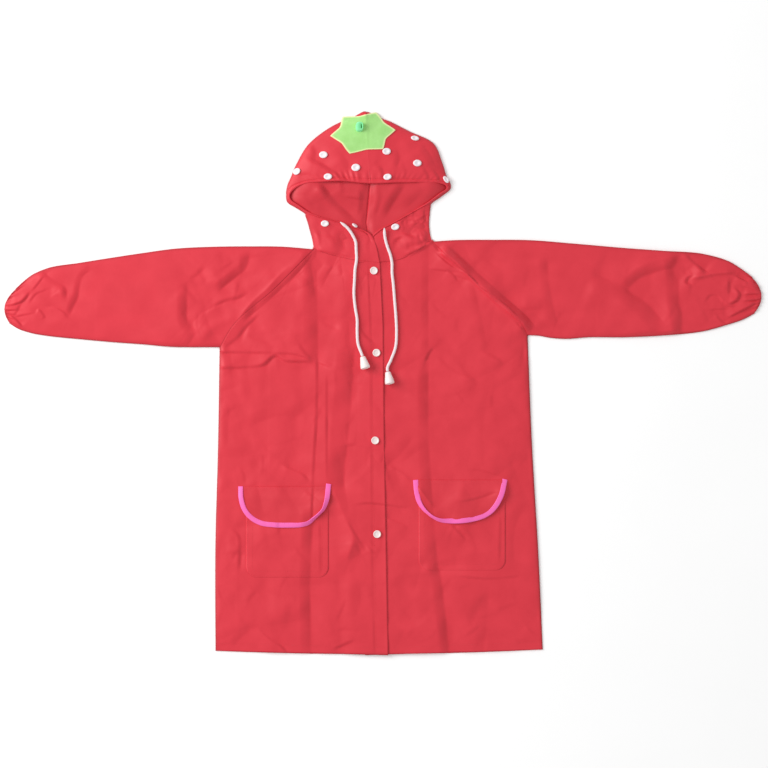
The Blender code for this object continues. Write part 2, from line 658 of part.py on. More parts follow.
def cap_on(name, tree, x, y, length, width, height, turn=0):
    """A cap seated on the cloth: square to the slope there, and just clear of it all round."""
    step = 0.45 * width
    crosswise = ((0, 0), (1, 0), (-1, 0), (0, 1), (0, -1))
    heights = {(i, j): surface_z(tree, x + i * step, y + j * step) for i, j in crosswise}
    slope_x = (heights[1, 0] - heights[-1, 0]) / (2 * step)
    slope_y = (heights[0, 1] - heights[0, -1]) / (2 * step)
    up = Vector((-slope_x, -slope_y, 1)).normalized()
    plane = max(heights[d] - slope_x * d[0] * step - slope_y * d[1] * step for d in heights)
    place = Vector((x, y, plane)) + up * (GAP + 0.0001)
    return domed_cap(name, place, up, length, width, height, turn)


def drawcord(side):
    """The free end of the drawcord, a round cord along its route."""
    line = curve_through(CORD_ROUTES[side], np.linspace(0, 1, CORD_POINTS))
    curve = bpy.data.curves.new(f"{side}_drawcord", "CURVE")
    curve.dimensions = "3D"
    curve.bevel_depth = CORD_DIAMETER / 2
    curve.bevel_resolution = 2
    curve.use_fill_caps = True
    spline = curve.splines.new("POLY")
    spline.points.add(len(line) - 1)
    for point, place in zip(spline.points, line):
        point.co = (*place, 1.0)
    made = bpy.data.objects.new(f"{side}_drawcord", curve)
    made.data.materials.append(make_material(f"{side}_drawcord", *COLOURS["cord white"]))
    coat.objects.link(made)
    return made


def cord_end(side):
    """A bell-shaped cord end, turned about the cord's own direction."""
    neck = Vector(CORD_ROUTES[side][-1])
    mouth = Vector(BELL_ENDS[side])
    direction = (mouth - neck).normalized()
    rings = [(0.0, BELL_PROFILE[0][0])] + [(radius, along) for along, radius in BELL_PROFILE] + [(0.0, 0.0)]
    mesh = bpy.data.meshes.new(f"{side}_cord_end")
    points = [(radius, 0.0, along) for radius, along in rings]
    mesh.from_pydata(points, [(i, i + 1) for i in range(len(points) - 1)], [])
    mesh.shade_smooth()
    made = bpy.data.objects.new(f"{side}_cord_end", mesh)
    made.data.materials.append(make_material(f"{side}_cord_end", *COLOURS["white plastic"]))
    coat.objects.link(made)
    turned = made.modifiers.new("turn", "SCREW")
    turned.steps = turned.render_steps = 14
    turned.use_merge_vertices = True
    turned.merge_threshold = 0.00005
    made.rotation_mode = "QUATERNION"
    made.rotation_quaternion = Vector((0, 0, 1)).rotation_difference(direction)
    made.location = neck + direction * 2 * GAP
    return made


def calyx_edge(angle):
    """Reach of the leaf at an angle: sharp tips with the cloth curving in between."""
    phase = (angle * CALYX_TIPS / (2 * math.pi)) % 1.0
    nearness = abs(phase - 0.5) * 2
    return 0.60 + 0.40 * nearness**1.7


def calyx(tree):
    """The leaf appliqué on the crown, a star squashed by the slope of the hood."""
    spokes, rings = 36, (0.12, 0.4, 0.7, 1.0)
    middle = np.array([-0.0310, 0.3870])
    steepest = 1.1  # slope of the leaf where the crown drops away below it
    lift = GAP + CLOTH
    points, last = [], {}
    angles = np.linspace(0, 2 * math.pi, spokes, endpoint=False)
    for share in rings:
        for k, angle in enumerate(angles):
            reach = CALYX_REACH * calyx_edge(angle - CALYX_TURN) * share
            x = middle[0] + reach * math.cos(angle)
            y = middle[1] + reach * CALYX_SQUASH * math.sin(angle)
            z = surface_z(tree, x, y, 0.002) + lift
            if k in last:
                before = last[k]
                z = max(z, before[2] - steepest * math.hypot(x - before[0], y - before[1]))
            last[k] = (x, y, z)
            points.append((x, y, z))
    points.append((*middle, max(p[2] for p in points[:spokes])))
    faces = [tuple(reversed(face)) for face in grid_faces(len(rings), spokes, 0, True)]
    faces += [(len(points) - 1, k, (k + 1) % spokes) for k in range(spokes)]
    made = add_object("calyx", points, faces, "leaf green")
    give_wall(made, CLOTH)
    return made


def stem(tree):
    """The soft stub that stands on the leaf."""
    x, y = -0.0380, 0.3970
    below = surface_z(tree, x, y, 0.4 * STEM_DIAMETER)
    radius = STEM_DIAMETER / 2
    cage = bmesh.new()
    bmesh.ops.create_cone(
        cage, cap_ends=True, segments=14, radius1=radius, radius2=0.84 * radius, depth=STEM_HEIGHT
    )
    mesh = bpy.data.meshes.new("stem")
    cage.to_mesh(mesh)
    cage.free()
    made = bpy.data.objects.new("stem", mesh)
    made.data.materials.append(make_material("stem", *COLOURS["stem green"]))
    made.location = (x, y, below + GAP + STEM_HEIGHT / 2)
    coat.objects.link(made)
    edge = made.modifiers.new("round edges", "BEVEL")
    edge.width, edge.segments = 0.0012, 2
    return made


clear_scene()
coat = bpy.data.collections.new("hooded_raincoat")
bpy.context.scene.collection.children.link(coat)

back_panel()
fronts = {side: front_panel(side) for side in SIDES}
for side in SIDES:
    sleeve(side)
    cuff(side)
hood = {side: hood_side(side) for side in SIDES}
bpy.context.view_layer.update()

for side in SIDES:
    patch = pocket(side, tree_of(fronts[side]))
    bpy.context.view_layer.update()
    under_flap = tree_of(fronts[side], patch)
    flap(side, under_flap)
    flap_binding(side, under_flap)

front_tree = tree_of(fronts["right"])
for number, (x, y) in enumerate(SNAPS, start=1):
    cap_on(f"snap_{number}", front_tree, x, y, SNAP_DIAMETER, SNAP_DIAMETER, SNAP_HEIGHT)

hood_tree = tree_of(hood["left"], hood["right"])
for number, (x, y, turn) in enumerate(SEEDS, start=1):
    cap_on(f"seed_{number:02d}", hood_tree, x, y, SEED_LENGTH, SEED_WIDTH, SEED_HEIGHT, turn)

leaf = calyx(hood_tree)
bpy.context.view_layer.update()
stem(tree_of(leaf))

for side in SIDES:
    drawcord(side)
    cord_end(side)
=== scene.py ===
# %% [markdown]
# # A child's hooded raincoat, laid flat
# The coat lies on its back on a pale table, snapped shut, with its sleeves spread and its strawberry
# hood open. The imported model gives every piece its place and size, and this file gives the pieces
# their cloth, creases, stitches and finishes. All lengths are metres unless a table says otherwise.

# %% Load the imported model
import math

import bpy
import numpy as np
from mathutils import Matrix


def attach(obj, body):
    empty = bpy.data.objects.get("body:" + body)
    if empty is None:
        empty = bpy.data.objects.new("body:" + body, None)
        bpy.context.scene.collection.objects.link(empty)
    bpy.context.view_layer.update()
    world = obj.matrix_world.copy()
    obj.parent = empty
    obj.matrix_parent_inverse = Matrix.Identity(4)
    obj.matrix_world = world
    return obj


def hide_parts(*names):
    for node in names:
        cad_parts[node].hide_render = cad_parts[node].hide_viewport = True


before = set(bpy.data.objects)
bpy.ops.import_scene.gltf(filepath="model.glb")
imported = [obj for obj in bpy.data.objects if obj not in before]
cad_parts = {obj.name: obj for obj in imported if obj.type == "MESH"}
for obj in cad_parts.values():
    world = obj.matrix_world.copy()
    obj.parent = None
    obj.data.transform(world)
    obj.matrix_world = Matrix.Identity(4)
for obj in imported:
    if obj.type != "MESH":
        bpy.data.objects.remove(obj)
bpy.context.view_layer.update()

# %% [markdown]
# ## Camera
# A coat that lies flat is seen best from straight above, from far enough that nothing leans.
# A long lens six metres up keeps the hood, which stands highest, almost as large as the hem.

# %% Camera straight above
CAMERA_HEIGHT = 6.0
VIEW_WIDTH = 1.1904  # width of table that the camera sees
VIEW_MIDDLE = (0.00155, -0.00155)

camera = bpy.data.objects.new("camera", bpy.data.cameras.new("camera"))
camera.data.sensor_width = 36.0
camera.data.lens = camera.data.sensor_width * CAMERA_HEIGHT / VIEW_WIDTH
camera.data.clip_end = 50.0
camera.location = (*VIEW_MIDDLE, CAMERA_HEIGHT)
bpy.context.scene.collection.objects.link(camera)
bpy.context.scene.camera = camera
print(f"lens {camera.data.lens:.1f} mm")

# %% [markdown]
# ## Helpers for surfaces
# Every new piece is a surface on a grid: numpy works out all its points at once, and one helper
# turns the grid into a mesh. A closed grid, such as a cord, is checked by its signed volume, so
# that its faces point outwards.

# %% Grids, meshes and pieces
def quads_of(rows, columns, loop=False):
    """Corner numbers of the quads between neighbouring rows of a grid, closed round where it loops."""
    number = np.arange(rows * columns).reshape(rows, columns)
    if loop:
        number = np.concatenate([number, number[:, :1]], axis=1)
    a, b, c, d = number[:-1, :-1], number[:-1, 1:], number[1:, 1:], number[1:, :-1]
    return np.stack([a, b, c, d], axis=-1).reshape(-1, 4)


def signed_volume(points, faces):
    """Sum of the tetrahedra from the origin to each face: positive where the faces point outwards."""
    triangles = np.concatenate([faces[:, [0, k, k + 1]] for k in range(1, faces.shape[1] - 1)])
    a, b, c = (points[triangles[:, k]] for k in range(3))
    return np.einsum("ij,ij->i", a, np.cross(b, c)).sum() / 6


def add_piece(
    name, points, faces, finish, stands_for=(), uv=None, closed=False, edge=None
):
    """A mesh object that rides on the coat. Faces is one table of corners, or a list of tables.

    A uv for each point becomes a UV map, and an edge value for each point a point attribute.
    """
    tables = faces if isinstance(faces, list) else [faces]
    points = np.asarray(points, float).reshape(-1, 3)
    if closed and sum(signed_volume(points, table) for table in tables) < 0:
        tables = [table[:, ::-1] for table in tables]
    corners = [corner for table in tables for corner in table.tolist()]
    mesh = bpy.data.meshes.new(name)
    mesh.from_pydata(points.tolist(), [], corners)
    mesh.shade_smooth()
    if uv is not None:
        layer = mesh.uv_layers.new(name="UVMap")
        index = np.empty(len(mesh.loops), np.int32)
        mesh.loops.foreach_get("vertex_index", index)
        layer.data.foreach_set("uv", np.asarray(uv, np.float32).reshape(-1, 2)[index].ravel())
    if edge is not None:
        rim = mesh.attributes.new("edge", "FLOAT", "POINT")
        rim.data.foreach_set("value", np.asarray(edge, np.float32).ravel())
    mesh.materials.append(finish)
    made = bpy.data.objects.new(name, mesh)
    bpy.context.scene.collection.objects.link(made)
    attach(made, "root")
    if stands_for:
        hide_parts(*stands_for)
    return made


def give_wall(made, thickness):
    """Half of the cloth's thickness on each side of its middle surface."""
    wall = made.modifiers.new("cloth wall", "SOLIDIFY")
    wall.thickness = thickness
    wall.offset = 0.0


def rounded(made):
    """One subdivision, which turns the corners of a moulded profile into soft curves."""
    soften = made.modifiers.new("rounded", "SUBSURF")
    soften.levels = soften.render_levels = 1
    return made


# %% Steps, humps and lines
def smooth_step(value):
    """0 below 0, 1 above 1 and an even slope change in between."""
    held = np.clip(value, 0, 1)
    return held * held * (3 - 2 * held)


def hump(value, middle, width):
    """A bell curve: exp(-((value - middle) / width)^2)."""
    return np.exp(-(((value - middle) / width) ** 2))


def soft_floor(z, low, ease=0.0003):
    """The larger of z and low, rounded where they meet: half of their sum and their eased distance."""
    return low + 0.5 * ((z - low) + np.sqrt((z - low) ** 2 + ease**2))


def way_along(line):
    """How far along the line each of its points lies."""
    return np.r_[0, np.cumsum(np.linalg.norm(np.diff(line, axis=0), axis=1))]


def length_of(line):
    """The sum of the distances between its points."""
    return float(np.linalg.norm(np.diff(line, axis=0), axis=1).sum())


def curve_through(points, fractions):
    """Points of a smooth curve through the given ones: a cubic between each two, with shared slopes."""
    knots = np.array(points, float)
    lengths = way_along(knots)
    slopes = np.gradient(knots, lengths, axis=0)
    at = np.clip(np.asarray(fractions, float), 0, 1) * lengths[-1]
    i = np.clip(np.searchsorted(lengths, at, side="right") - 1, 0, len(knots) - 2)
    span = (lengths[i + 1] - lengths[i])[:, None]
    f = (at - lengths[i])[:, None] / span
    return (
        (2 * f**3 - 3 * f**2 + 1) * knots[i]
        + (f**3 - 2 * f**2 + f) * span * slopes[i]
        + (3 * f**2 - 2 * f**3) * knots[i + 1]
        + (f**3 - f**2) * span * slopes[i + 1]
    )


def unit_rows(vectors):
    """Each row of a table of vectors with its length made 1."""
    return vectors / np.linalg.norm(vectors, axis=1, keepdims=True)


def shifted(line, distance):
    """The points of a flat line moved sideways, to the left of its direction where positive."""
    along = unit_rows(np.gradient(line, axis=0))
    return line + distance * np.stack([-along[:, 1], along[:, 0]], axis=1)


print("a step at its middle is", smooth_step(0.5), "and a hump at its middle", hump(0, 0, 1))

# %% [markdown]
# ## Finishes
# Each material is a Principled shader fed by small node groups: a mottle that varies a colour, a
# crinkle for stiff coated cloth, and a weave. The groups only give out colours and heights, and
# each material uses them with its own numbers. Patterns read Object coordinates in metres, or the
# piece's own UV map where they follow a cord or tape.

# %% Node helpers
def linear(red, green, blue):
    """A colour as it looks on screen, 0 to 255, turned into the light values that a shader takes."""
    share = np.array([red, green, blue]) / 255
    low = share / 12.92
    high = ((share + 0.055) / 1.055) ** 2.4
    return (*np.where(share > 0.04045, high, low).tolist(), 1.0)


def new_group(name, inputs, outputs):
    """A shader node group with these named sockets, and its input and output nodes."""
    group = bpy.data.node_groups.new(name, "ShaderNodeTree")
    for label, kind, value in inputs:
        group.interface.new_socket(label, in_out="INPUT", socket_type=kind).default_value = value
    for label, kind in outputs:
        group.interface.new_socket(label, in_out="OUTPUT", socket_type=kind)
    return group, group.nodes.new("NodeGroupInput").outputs, group.nodes.new("NodeGroupOutput").inputs


def node(tree, kind, links=(), **values):
    """A new node: values set its properties, or its input sockets where they are written in_Name."""
    made = tree.nodes.new(kind)
    for key, value in values.items():
        if key.startswith("in_"):
            made.inputs[key[3:].replace("_", " ")].default_value = value
        else:
            setattr(made, key, value)
    for socket, source in links:
        tree.links.new(source, made.inputs[socket])
    return made


def object_place(tree):
    """Object coordinates, which are metres here because every piece sits at the origin."""
    return node(tree, "ShaderNodeTexCoord").outputs["Object"]


def noise(tree, place, links=(), **values):
    """A noise texture read at the given coordinates."""
    return node(tree, "ShaderNodeTexNoise", [("Vector", place), *links], **values)


def calculated(tree, operation, links):
    """A sum, product or other calculation on sockets."""
    return node(tree, "ShaderNodeMath", links, operation=operation)


MIX_COLOUR_A, MIX_COLOUR_B, MIX_RESULT = 6, 7, 2  # sockets of a Mix node when it mixes colours


def mixed_colour(tree, factor, first, second):
    """The first colour where the factor is 0 and the second where it is 1: sockets or fixed colours."""
    mix = node(tree, "ShaderNodeMix", [("Factor", factor)], data_type="RGBA")
    for number, colour in ((MIX_COLOUR_A, first), (MIX_COLOUR_B, second)):
        if isinstance(colour, tuple):
            mix.inputs[number].default_value = colour
        else:
            tree.links.new(colour, mix.inputs[number])
    return mix.outputs[MIX_RESULT]


# %% The mottle, crinkle and weave groups
FLOAT, COLOUR = "NodeSocketFloat", "NodeSocketColor"

mottle_group, given, out = new_group(
    "mottle",
    [
        ("Colour A", COLOUR, (1, 1, 1, 1)),
        ("Colour B", COLOUR, (0.5, 0.5, 0.5, 1)),
        ("Scale", FLOAT, 30.0),
    ],
    [("Colour", COLOUR), ("Mask", FLOAT)],
)
place = object_place(mottle_group)
cloud = noise(mottle_group, place, [("Scale", given["Scale"])], in_Detail=4.0, in_Roughness=0.6)
spread = node(
    mottle_group,
    "ShaderNodeMapRange",
    [("Value", cloud.outputs["Fac"])],
    in_From_Min=0.32,
    in_From_Max=0.68,
).outputs["Result"]
mottled = mixed_colour(mottle_group, spread, given["Colour A"], given["Colour B"])
mottle_group.links.new(mottled, out["Colour"])
mottle_group.links.new(spread, out["Mask"])

crinkle_group, given, out = new_group(
    "crinkle", [("Scale", FLOAT, 90.0), ("Fold", FLOAT, 0.6)], [("Height", FLOAT)]
)
place = object_place(crinkle_group)
waver = noise(crinkle_group, place, in_Scale=24.0, in_Detail=2.0)
pushed = node(
    crinkle_group,
    "ShaderNodeVectorMath",
    [(0, waver.outputs["Color"]), (2, place)],
    operation="MULTIPLY_ADD",
)
pushed.inputs[1].default_value = (0.03, 0.03, 0.03)
facets = node(
    crinkle_group,
    "ShaderNodeTexVoronoi",
    [("Vector", pushed.outputs["Vector"]), ("Scale", given["Scale"])],
    feature="SMOOTH_F1",
    in_Smoothness=0.35,
)
grain = noise(crinkle_group, place, in_Scale=260.0, in_Detail=3.0, in_Roughness=0.55)
folds = calculated(crinkle_group, "MULTIPLY", [(0, facets.outputs["Distance"]), (1, given["Fold"])])
both = calculated(
    crinkle_group, "MULTIPLY_ADD", [(0, grain.outputs["Fac"]), (2, folds.outputs["Value"])]
)
both.inputs[1].default_value = 0.25  # share of the fine grain
crinkle_group.links.new(both.outputs["Value"], out["Height"])

weave_group, given, out = new_group(
    "plain_weave", [("Threads per metre", FLOAT, 1500.0)], [("Height", FLOAT)]
)
place = object_place(weave_group)
bands = [
    node(
        weave_group,
        "ShaderNodeTexWave",
        [("Vector", place), ("Scale", given["Threads per metre"])],
        bands_direction=direction,
        in_Distortion=0.4,
    ).outputs["Fac"]
    for direction in ("X", "Y")
]
crossed = calculated(weave_group, "MULTIPLY", list(enumerate(bands)))
weave_group.links.new(crossed.outputs["Value"], out["Height"])
print("node groups", [group.name for group in bpy.data.node_groups])


# %% Materials, and the table's pale board
WHITE = (1, 1, 1, 1)
TABLE_GLOW = 0.1


def principled(name, roughness, **sockets):
    """A material with a Principled shader whose fixed numbers are set on its own sockets."""
    made = bpy.data.materials.new(name)
    made.use_nodes = True
    shader = made.node_tree.nodes["Principled BSDF"]
    shader.inputs["Roughness"].default_value = roughness
    for label, value in sockets.items():
        shader.inputs[label.replace("_", " ")].default_value = value
    return made, made.node_tree, shader


def use_group(tree, group, **values):
    """A group placed in a material with that material's own numbers and colours."""
    made = tree.nodes.new("ShaderNodeGroup")
    made.node_tree = group
    for label, value in values.items():
        made.inputs[label.replace("_", " ")].default_value = value
    return made


table_finish, tree, shader = principled("matt_board", 0.9, Specular_IOR_Level=0.1)
pale, paler = (0.965, 0.965, 0.965, 1), (0.98, 0.98, 0.98, 1)
board = use_group(tree, mottle_group, Colour_A=paler, Colour_B=pale, Scale=3.0)
tree.links.new(board.outputs["Colour"], shader.inputs["Base Color"])
shader.inputs["Emission Color"].default_value = WHITE
shader.inputs["Emission Strength"].default_value = TABLE_GLOW
print("made", table_finish.name)

# %% [markdown]
# ### Coated nylon
# The shell is thin woven nylon with a waterproof coating. It is smooth enough to shine softly, so
# its colour is a clear red, its roughness is in the middle and drifts a little, and its bump is
# the faint crinkle that a folded coat keeps, with the threads of the cloth over it.

# %% Coated nylon
def bump_from(tree, shader, layers):
    """Bumps one over the other, each from a height and its real depth, into the shader's normal."""
    last = None
    for height, depth, strength in layers:
        bump = node(
            tree, "ShaderNodeBump", [("Height", height)], in_Distance=depth, in_Strength=strength
        )
        if last is not None:
            tree.links.new(last.outputs["Normal"], bump.inputs["Normal"])
        last = bump
    tree.links.new(last.outputs["Normal"], shader.inputs["Normal"])


def range_of(tree, source, low, high):
    """A mask from 0 to 1 spread between two numbers."""
    spread = node(tree, "ShaderNodeMapRange", [("Value", source)], in_To_Min=low, in_To_Max=high)
    return spread.outputs["Result"]


def toward_edge(tree, colour, rim):
    """The colour, and another one where the attribute named edge nears 1."""
    edge = node(tree, "ShaderNodeAttribute", attribute_name="edge")
    return mixed_colour(tree, edge.outputs["Fac"], colour, rim)


def coated_nylon(name, light, dark, turned, crinkle_depth=0.0002):
    """Red cloth. Where the attribute named edge nears 1 it goes towards the darker red given as turned:
    painted shade along the outline and inside the hood, and a darker tint on the flaps.
    """
    made, tree, shader = principled(
        name, 0.52, Specular_IOR_Level=0.45, Sheen_Weight=0.05, Sheen_Roughness=0.5
    )
    colour = use_group(tree, mottle_group, Colour_A=light, Colour_B=dark, Scale=26.0)
    crinkle = use_group(tree, crinkle_group, Scale=110.0, Fold=0.5)
    weave = use_group(tree, weave_group, Threads_per_metre=500.0)
    # Painted shade: where the edge attribute nears 1 the colour goes towards the darker red given as
    # turned.
    tree.links.new(toward_edge(tree, colour.outputs["Colour"], turned), shader.inputs["Base Color"])
    tree.links.new(range_of(tree, colour.outputs["Mask"], 0.48, 0.58), shader.inputs["Roughness"])
    layers = [
        (weave.outputs["Height"], 0.00004, 0.25),
        (crinkle.outputs["Height"], crinkle_depth, 0.5),
    ]
    bump_from(tree, shader, layers)
    return made


shell_cloth = coated_nylon(
    "coated_nylon_red",
    light=(0.746, 0.03, 0.052, 1),
    dark=(0.692, 0.024, 0.044, 1),
    # the darker red that the painted shade goes towards
    turned=(0.4, 0.01, 0.018, 1),
)
print("made", shell_cloth.name)

# %% [markdown]
# The leaf and its stem are cut from soft felt. It has no threads to follow, so a fine noise stands
# for its fuzz, and a little sheen gives the soft rim of light that fuzz gives.

# %% Felt of the leaf and the stem
def felt(name, light, dark, rim):
    """Soft leaf cloth: mottled, fuzzy, with a paler band where the edge attribute nears 1."""
    made, tree, shader = principled(
        name, 0.85, Specular_IOR_Level=0.25, Sheen_Weight=0.25, Sheen_Roughness=0.6
    )
    colour = use_group(tree, mottle_group, Colour_A=light, Colour_B=dark, Scale=60.0)
    tree.links.new(toward_edge(tree, colour.outputs["Colour"], rim), shader.inputs["Base Color"])
    fuzz = noise(tree, object_place(tree), in_Scale=900.0, in_Detail=3.0)
    bump_from(tree, shader, [(fuzz.outputs["Fac"], 0.0003, 0.35)])
    return made


leaf_cloth = felt("leaf_felt", linear(172, 228, 138), linear(160, 218, 124), linear(236, 240, 176))
stem_cloth = felt("stem_felt", linear(146, 244, 176), linear(128, 232, 158), linear(176, 246, 192))
print("made", leaf_cloth.name, stem_cloth.name)

# %% [markdown]
# Snaps, seeds and cord ends are moulded in white plastic. It is almost even, so only a faint peel
# breaks its gloss, and a little light goes into it, which keeps it from looking like paint.

# %% Moulded plastic of the snaps, the seeds and the cord ends
def moulded(name, light, dark, roughness=0.3):
    """Moulded plastic: almost even, with a slight orange-peel and a soft gloss."""
    made, tree, shader = principled(name, roughness, Specular_IOR_Level=0.5, Subsurface_Weight=0.05)
    colour = use_group(tree, mottle_group, Colour_A=light, Colour_B=dark, Scale=140.0)
    peel = noise(tree, object_place(tree), in_Scale=700.0, in_Detail=1.0)
    drift = range_of(tree, colour.outputs["Mask"], roughness - 0.04, roughness + 0.08)
    tree.links.new(colour.outputs["Colour"], shader.inputs["Base Color"])
    tree.links.new(drift, shader.inputs["Roughness"])
    bump_from(tree, shader, [(peel.outputs["Fac"], 0.00008, 0.3)])
    return made


# The plastic is white; the faint pink cast in these colours is painted red light reflected from the
# coat.
white_plastic = moulded("moulded_white", linear(250, 234, 230), linear(244, 226, 222))
seed_plastic = moulded("moulded_seed", linear(248, 238, 240), linear(240, 228, 234), 0.35)
bell_plastic = moulded("moulded_cord_end", linear(252, 240, 238), linear(246, 232, 230), 0.32)
print("made", white_plastic.name, seed_plastic.name, bell_plastic.name)

# %% [markdown]
# Thread, braid and tape all show ribs that follow the piece, so they read the piece's own UV map,
# which runs along it in metres. Two sets of ribs that cross make a braid, and one makes a satin.

# %% Thread, braid and satin tape
def ribbed(name, light, dark, ribs, roughness, depth, twist=0.0):
    """Braid or satin tape: ribs across the length of the piece's own UV map, crossed where twisted."""
    made, tree, shader = principled(name, roughness, Specular_IOR_Level=0.4, Sheen_Weight=0.15)
    place = node(tree, "ShaderNodeUVMap", uv_map="UVMap")
    waves = []
    for sign in (-1.0, 1.0) if twist else (1.0,):
        turned = node(
            tree, "ShaderNodeVectorMath", [(0, place.outputs["UV"])], operation="DOT_PRODUCT"
        )
        turned.inputs[1].default_value = (ribs, sign * twist, 0.0)
        waves.append(calculated(tree, "SINE", [(0, turned.outputs["Value"])]).outputs["Value"])
    height = waves[0]
    if twist:
        height = calculated(tree, "MAXIMUM", list(enumerate(waves))).outputs["Value"]
    # Painted shade and light: the colour follows the rib height, darker in the grooves, lighter on the
    # crests.
    colour = mixed_colour(tree, range_of(tree, height, 0.15, 1.0), dark, light)
    tree.links.new(colour, shader.inputs["Base Color"])
    bump_from(tree, shader, [(height, depth, 0.5)])
    return made


ONE_TURN, TWO_TURNS = 6.283, 12.566  # how often the ribs run round a thread or cord, in radians

thread_red = ribbed(
    "thread_red", (0.76, 0.042, 0.062, 1), (0.62, 0.024, 0.038, 1), 9000.0, 0.5, 0.0001, ONE_TURN
)
thread_pink = ribbed(
    "thread_pink", linear(250, 120, 196), linear(222, 84, 160), 9000.0, 0.5, 0.0001, ONE_TURN
)
cord_white = ribbed(
    "braided_cord", linear(252, 240, 242), linear(232, 210, 216), 4200.0, 0.75, 0.00025, TWO_TURNS
)
tape_pink = ribbed(
    "satin_tape", linear(255, 122, 196), linear(250, 96, 178), 5200.0, 0.42, 0.00006
)
print("materials", len(bpy.data.materials))

# %% [markdown]
# ## Table and light
# The table is one pale plane that glows faintly, as a light table does, so it stays white. Soft
# light from a big lamp on the left, a little above the middle, shapes the creases: each slope that
# faces right turns darker. A white surround keeps the shadows open. The lamp's distance makes the
# far sleeve a little darker than the near one, as any real lamp does.

# %% Table, lamp and surround
LAMP_AT = (-2.98, 1.05, 2.15)
LAMP_SIZE, LAMP_POWER, SURROUND = 2.3, 111.0, 0.62
TABLE_REACH = 6.0

table_mesh = bpy.data.meshes.new("table")
corners = [(TABLE_REACH * x, TABLE_REACH * y, 0) for x, y in ((-1, -1), (1, -1), (1, 1), (-1, 1))]
table_mesh.from_pydata(corners, [], [(0, 1, 2, 3)])
table_mesh.materials.append(table_finish)
table = bpy.data.objects.new("table", table_mesh)
bpy.context.scene.collection.objects.link(table)

lamp_data = bpy.data.lights.new("soft_lamp", "AREA")
lamp_data.size = LAMP_SIZE
lamp_data.energy = LAMP_POWER
lamp = bpy.data.objects.new("soft_lamp", lamp_data)
lamp.location = LAMP_AT
down = -np.array(LAMP_AT) / np.linalg.norm(LAMP_AT)
yaw = math.atan2(down[1], down[0]) - math.pi / 2
lamp.rotation_euler = (math.acos(-down[2]), 0.0, yaw)
bpy.context.scene.collection.objects.link(lamp)

world = bpy.data.worlds.new("white_room")
world.use_nodes = True
sky = world.node_tree.nodes["Background"]
sky.inputs["Color"].default_value = WHITE
sky.inputs["Strength"].default_value = SURROUND
bpy.context.scene.world = world
bpy.context.scene.view_settings.view_transform = "Standard"
print("lamp at", LAMP_AT)

# %% [markdown]
# ## How the cloth lies
# The fronts and sleeves are one layer of cloth lying on another. Its height over the table is a sum:
# a loft that falls to nothing at the folded or sewn outline, the creases, and a slow seeded puff. One
# function gives that height for any place, so pieces that meet share it, and whatever is sewn on
# the coat can be laid on it.

# %% Outline and seams of the coat
WALL = 0.00055  # one layer of coated nylon, as drawn
LAYER = 0.0016  # from one layer to the next
LOW_Z = 0.00045  # middle of the lowest layer
HEM_Y = -0.4216
SIDES = {"right": -1, "left": 1}
SIDE_SEAM = {
    "right": [(-0.259, -0.415), (-0.259, -0.25), (-0.255, -0.1), (-0.2525, 0.056)],
    "left": [(0.247, -0.413), (0.2405, -0.27), (0.23, -0.09), (0.2235, 0.074)],
}
RAGLAN_SEAM = {
    "right": [(-0.2525, 0.056), (-0.237, 0.083), (-0.166, 0.148), (-0.107, 0.207)],
    "left": [(0.2235, 0.074), (0.213, 0.093), (0.143, 0.155), (0.076, 0.219)],
}
NECK_SEAM = {
    "right": [(-0.107, 0.207), (-0.05, 0.192), (-0.005, 0.1865)],
    "left": [(0.076, 0.219), (0.06, 0.21), (0.035, 0.195), (-0.04, 0.1865)],
}
BACK_NECK = [(-0.107, 0.207), (-0.02, 0.201), (0.076, 0.219)]
OVERLAP_EDGE = [
    (0.008, HEM_Y), (0.002, -0.088), (0.0, 0.09), (-0.005, 0.1865),
    (-0.01, 0.212), (-0.019, 0.231),
]
# Sleeve sections from the raglan seam to the gathered end: top x, y, underarm x, y, bow of the end.
SLEEVE_SECTIONS = {
    "right": [
        (-0.107, 0.207, -0.253, 0.0556, 0.0),
        (-0.156, 0.211, -0.262, 0.0556, 0.0),
        (-0.205, 0.2115, -0.28, 0.0556, 0.0),
        (-0.259, 0.211, -0.3, 0.0556, 0.0),
        (-0.321, 0.208, -0.334, 0.0565, 0.0),
        (-0.37, 0.2015, -0.372, 0.06, 0.0),
        (-0.42, 0.194, -0.42, 0.0635, 0.0),
        (-0.47, 0.186, -0.47, 0.068, 0.0),
        (-0.519, 0.178, -0.519, 0.073, 0.0),
        (-0.5412, 0.1688, -0.542, 0.0768, 0.001),
        (-0.556, 0.158, -0.564, 0.0835, 0.008),
        (-0.569, 0.146, -0.579, 0.0925, 0.012),
    ],
    "left": [
        (0.077, 0.219, 0.2245, 0.0742, 0.0),
        (0.113, 0.2212, 0.24, 0.0735, 0.0),
        (0.165, 0.2216, 0.26, 0.07, 0.0),
        (0.225, 0.2212, 0.285, 0.0685, 0.0),
        (0.299, 0.2155, 0.32, 0.071, 0.0),
        (0.374, 0.209, 0.376, 0.071, 0.0),
        (0.435, 0.2046, 0.435, 0.0738, 0.0),
        (0.498, 0.1995, 0.498, 0.0806, 0.0),
        (0.5355, 0.1885, 0.5335, 0.0903, 0.0),
        (0.556, 0.176, 0.558, 0.0985, 0.006),
        (0.572, 0.164, 0.576, 0.108, 0.0123),
    ],
}
SEAM_FADE = (1.0, 0.62, 0.25, 0.0)  # how closely the first sections follow the raglan seam's curve


def overlap_x(y):
    """The free edge of the right front, which laps over the left one."""
    edge = np.array(OVERLAP_EDGE)
    return np.interp(y, edge[:, 1], edge[:, 0])


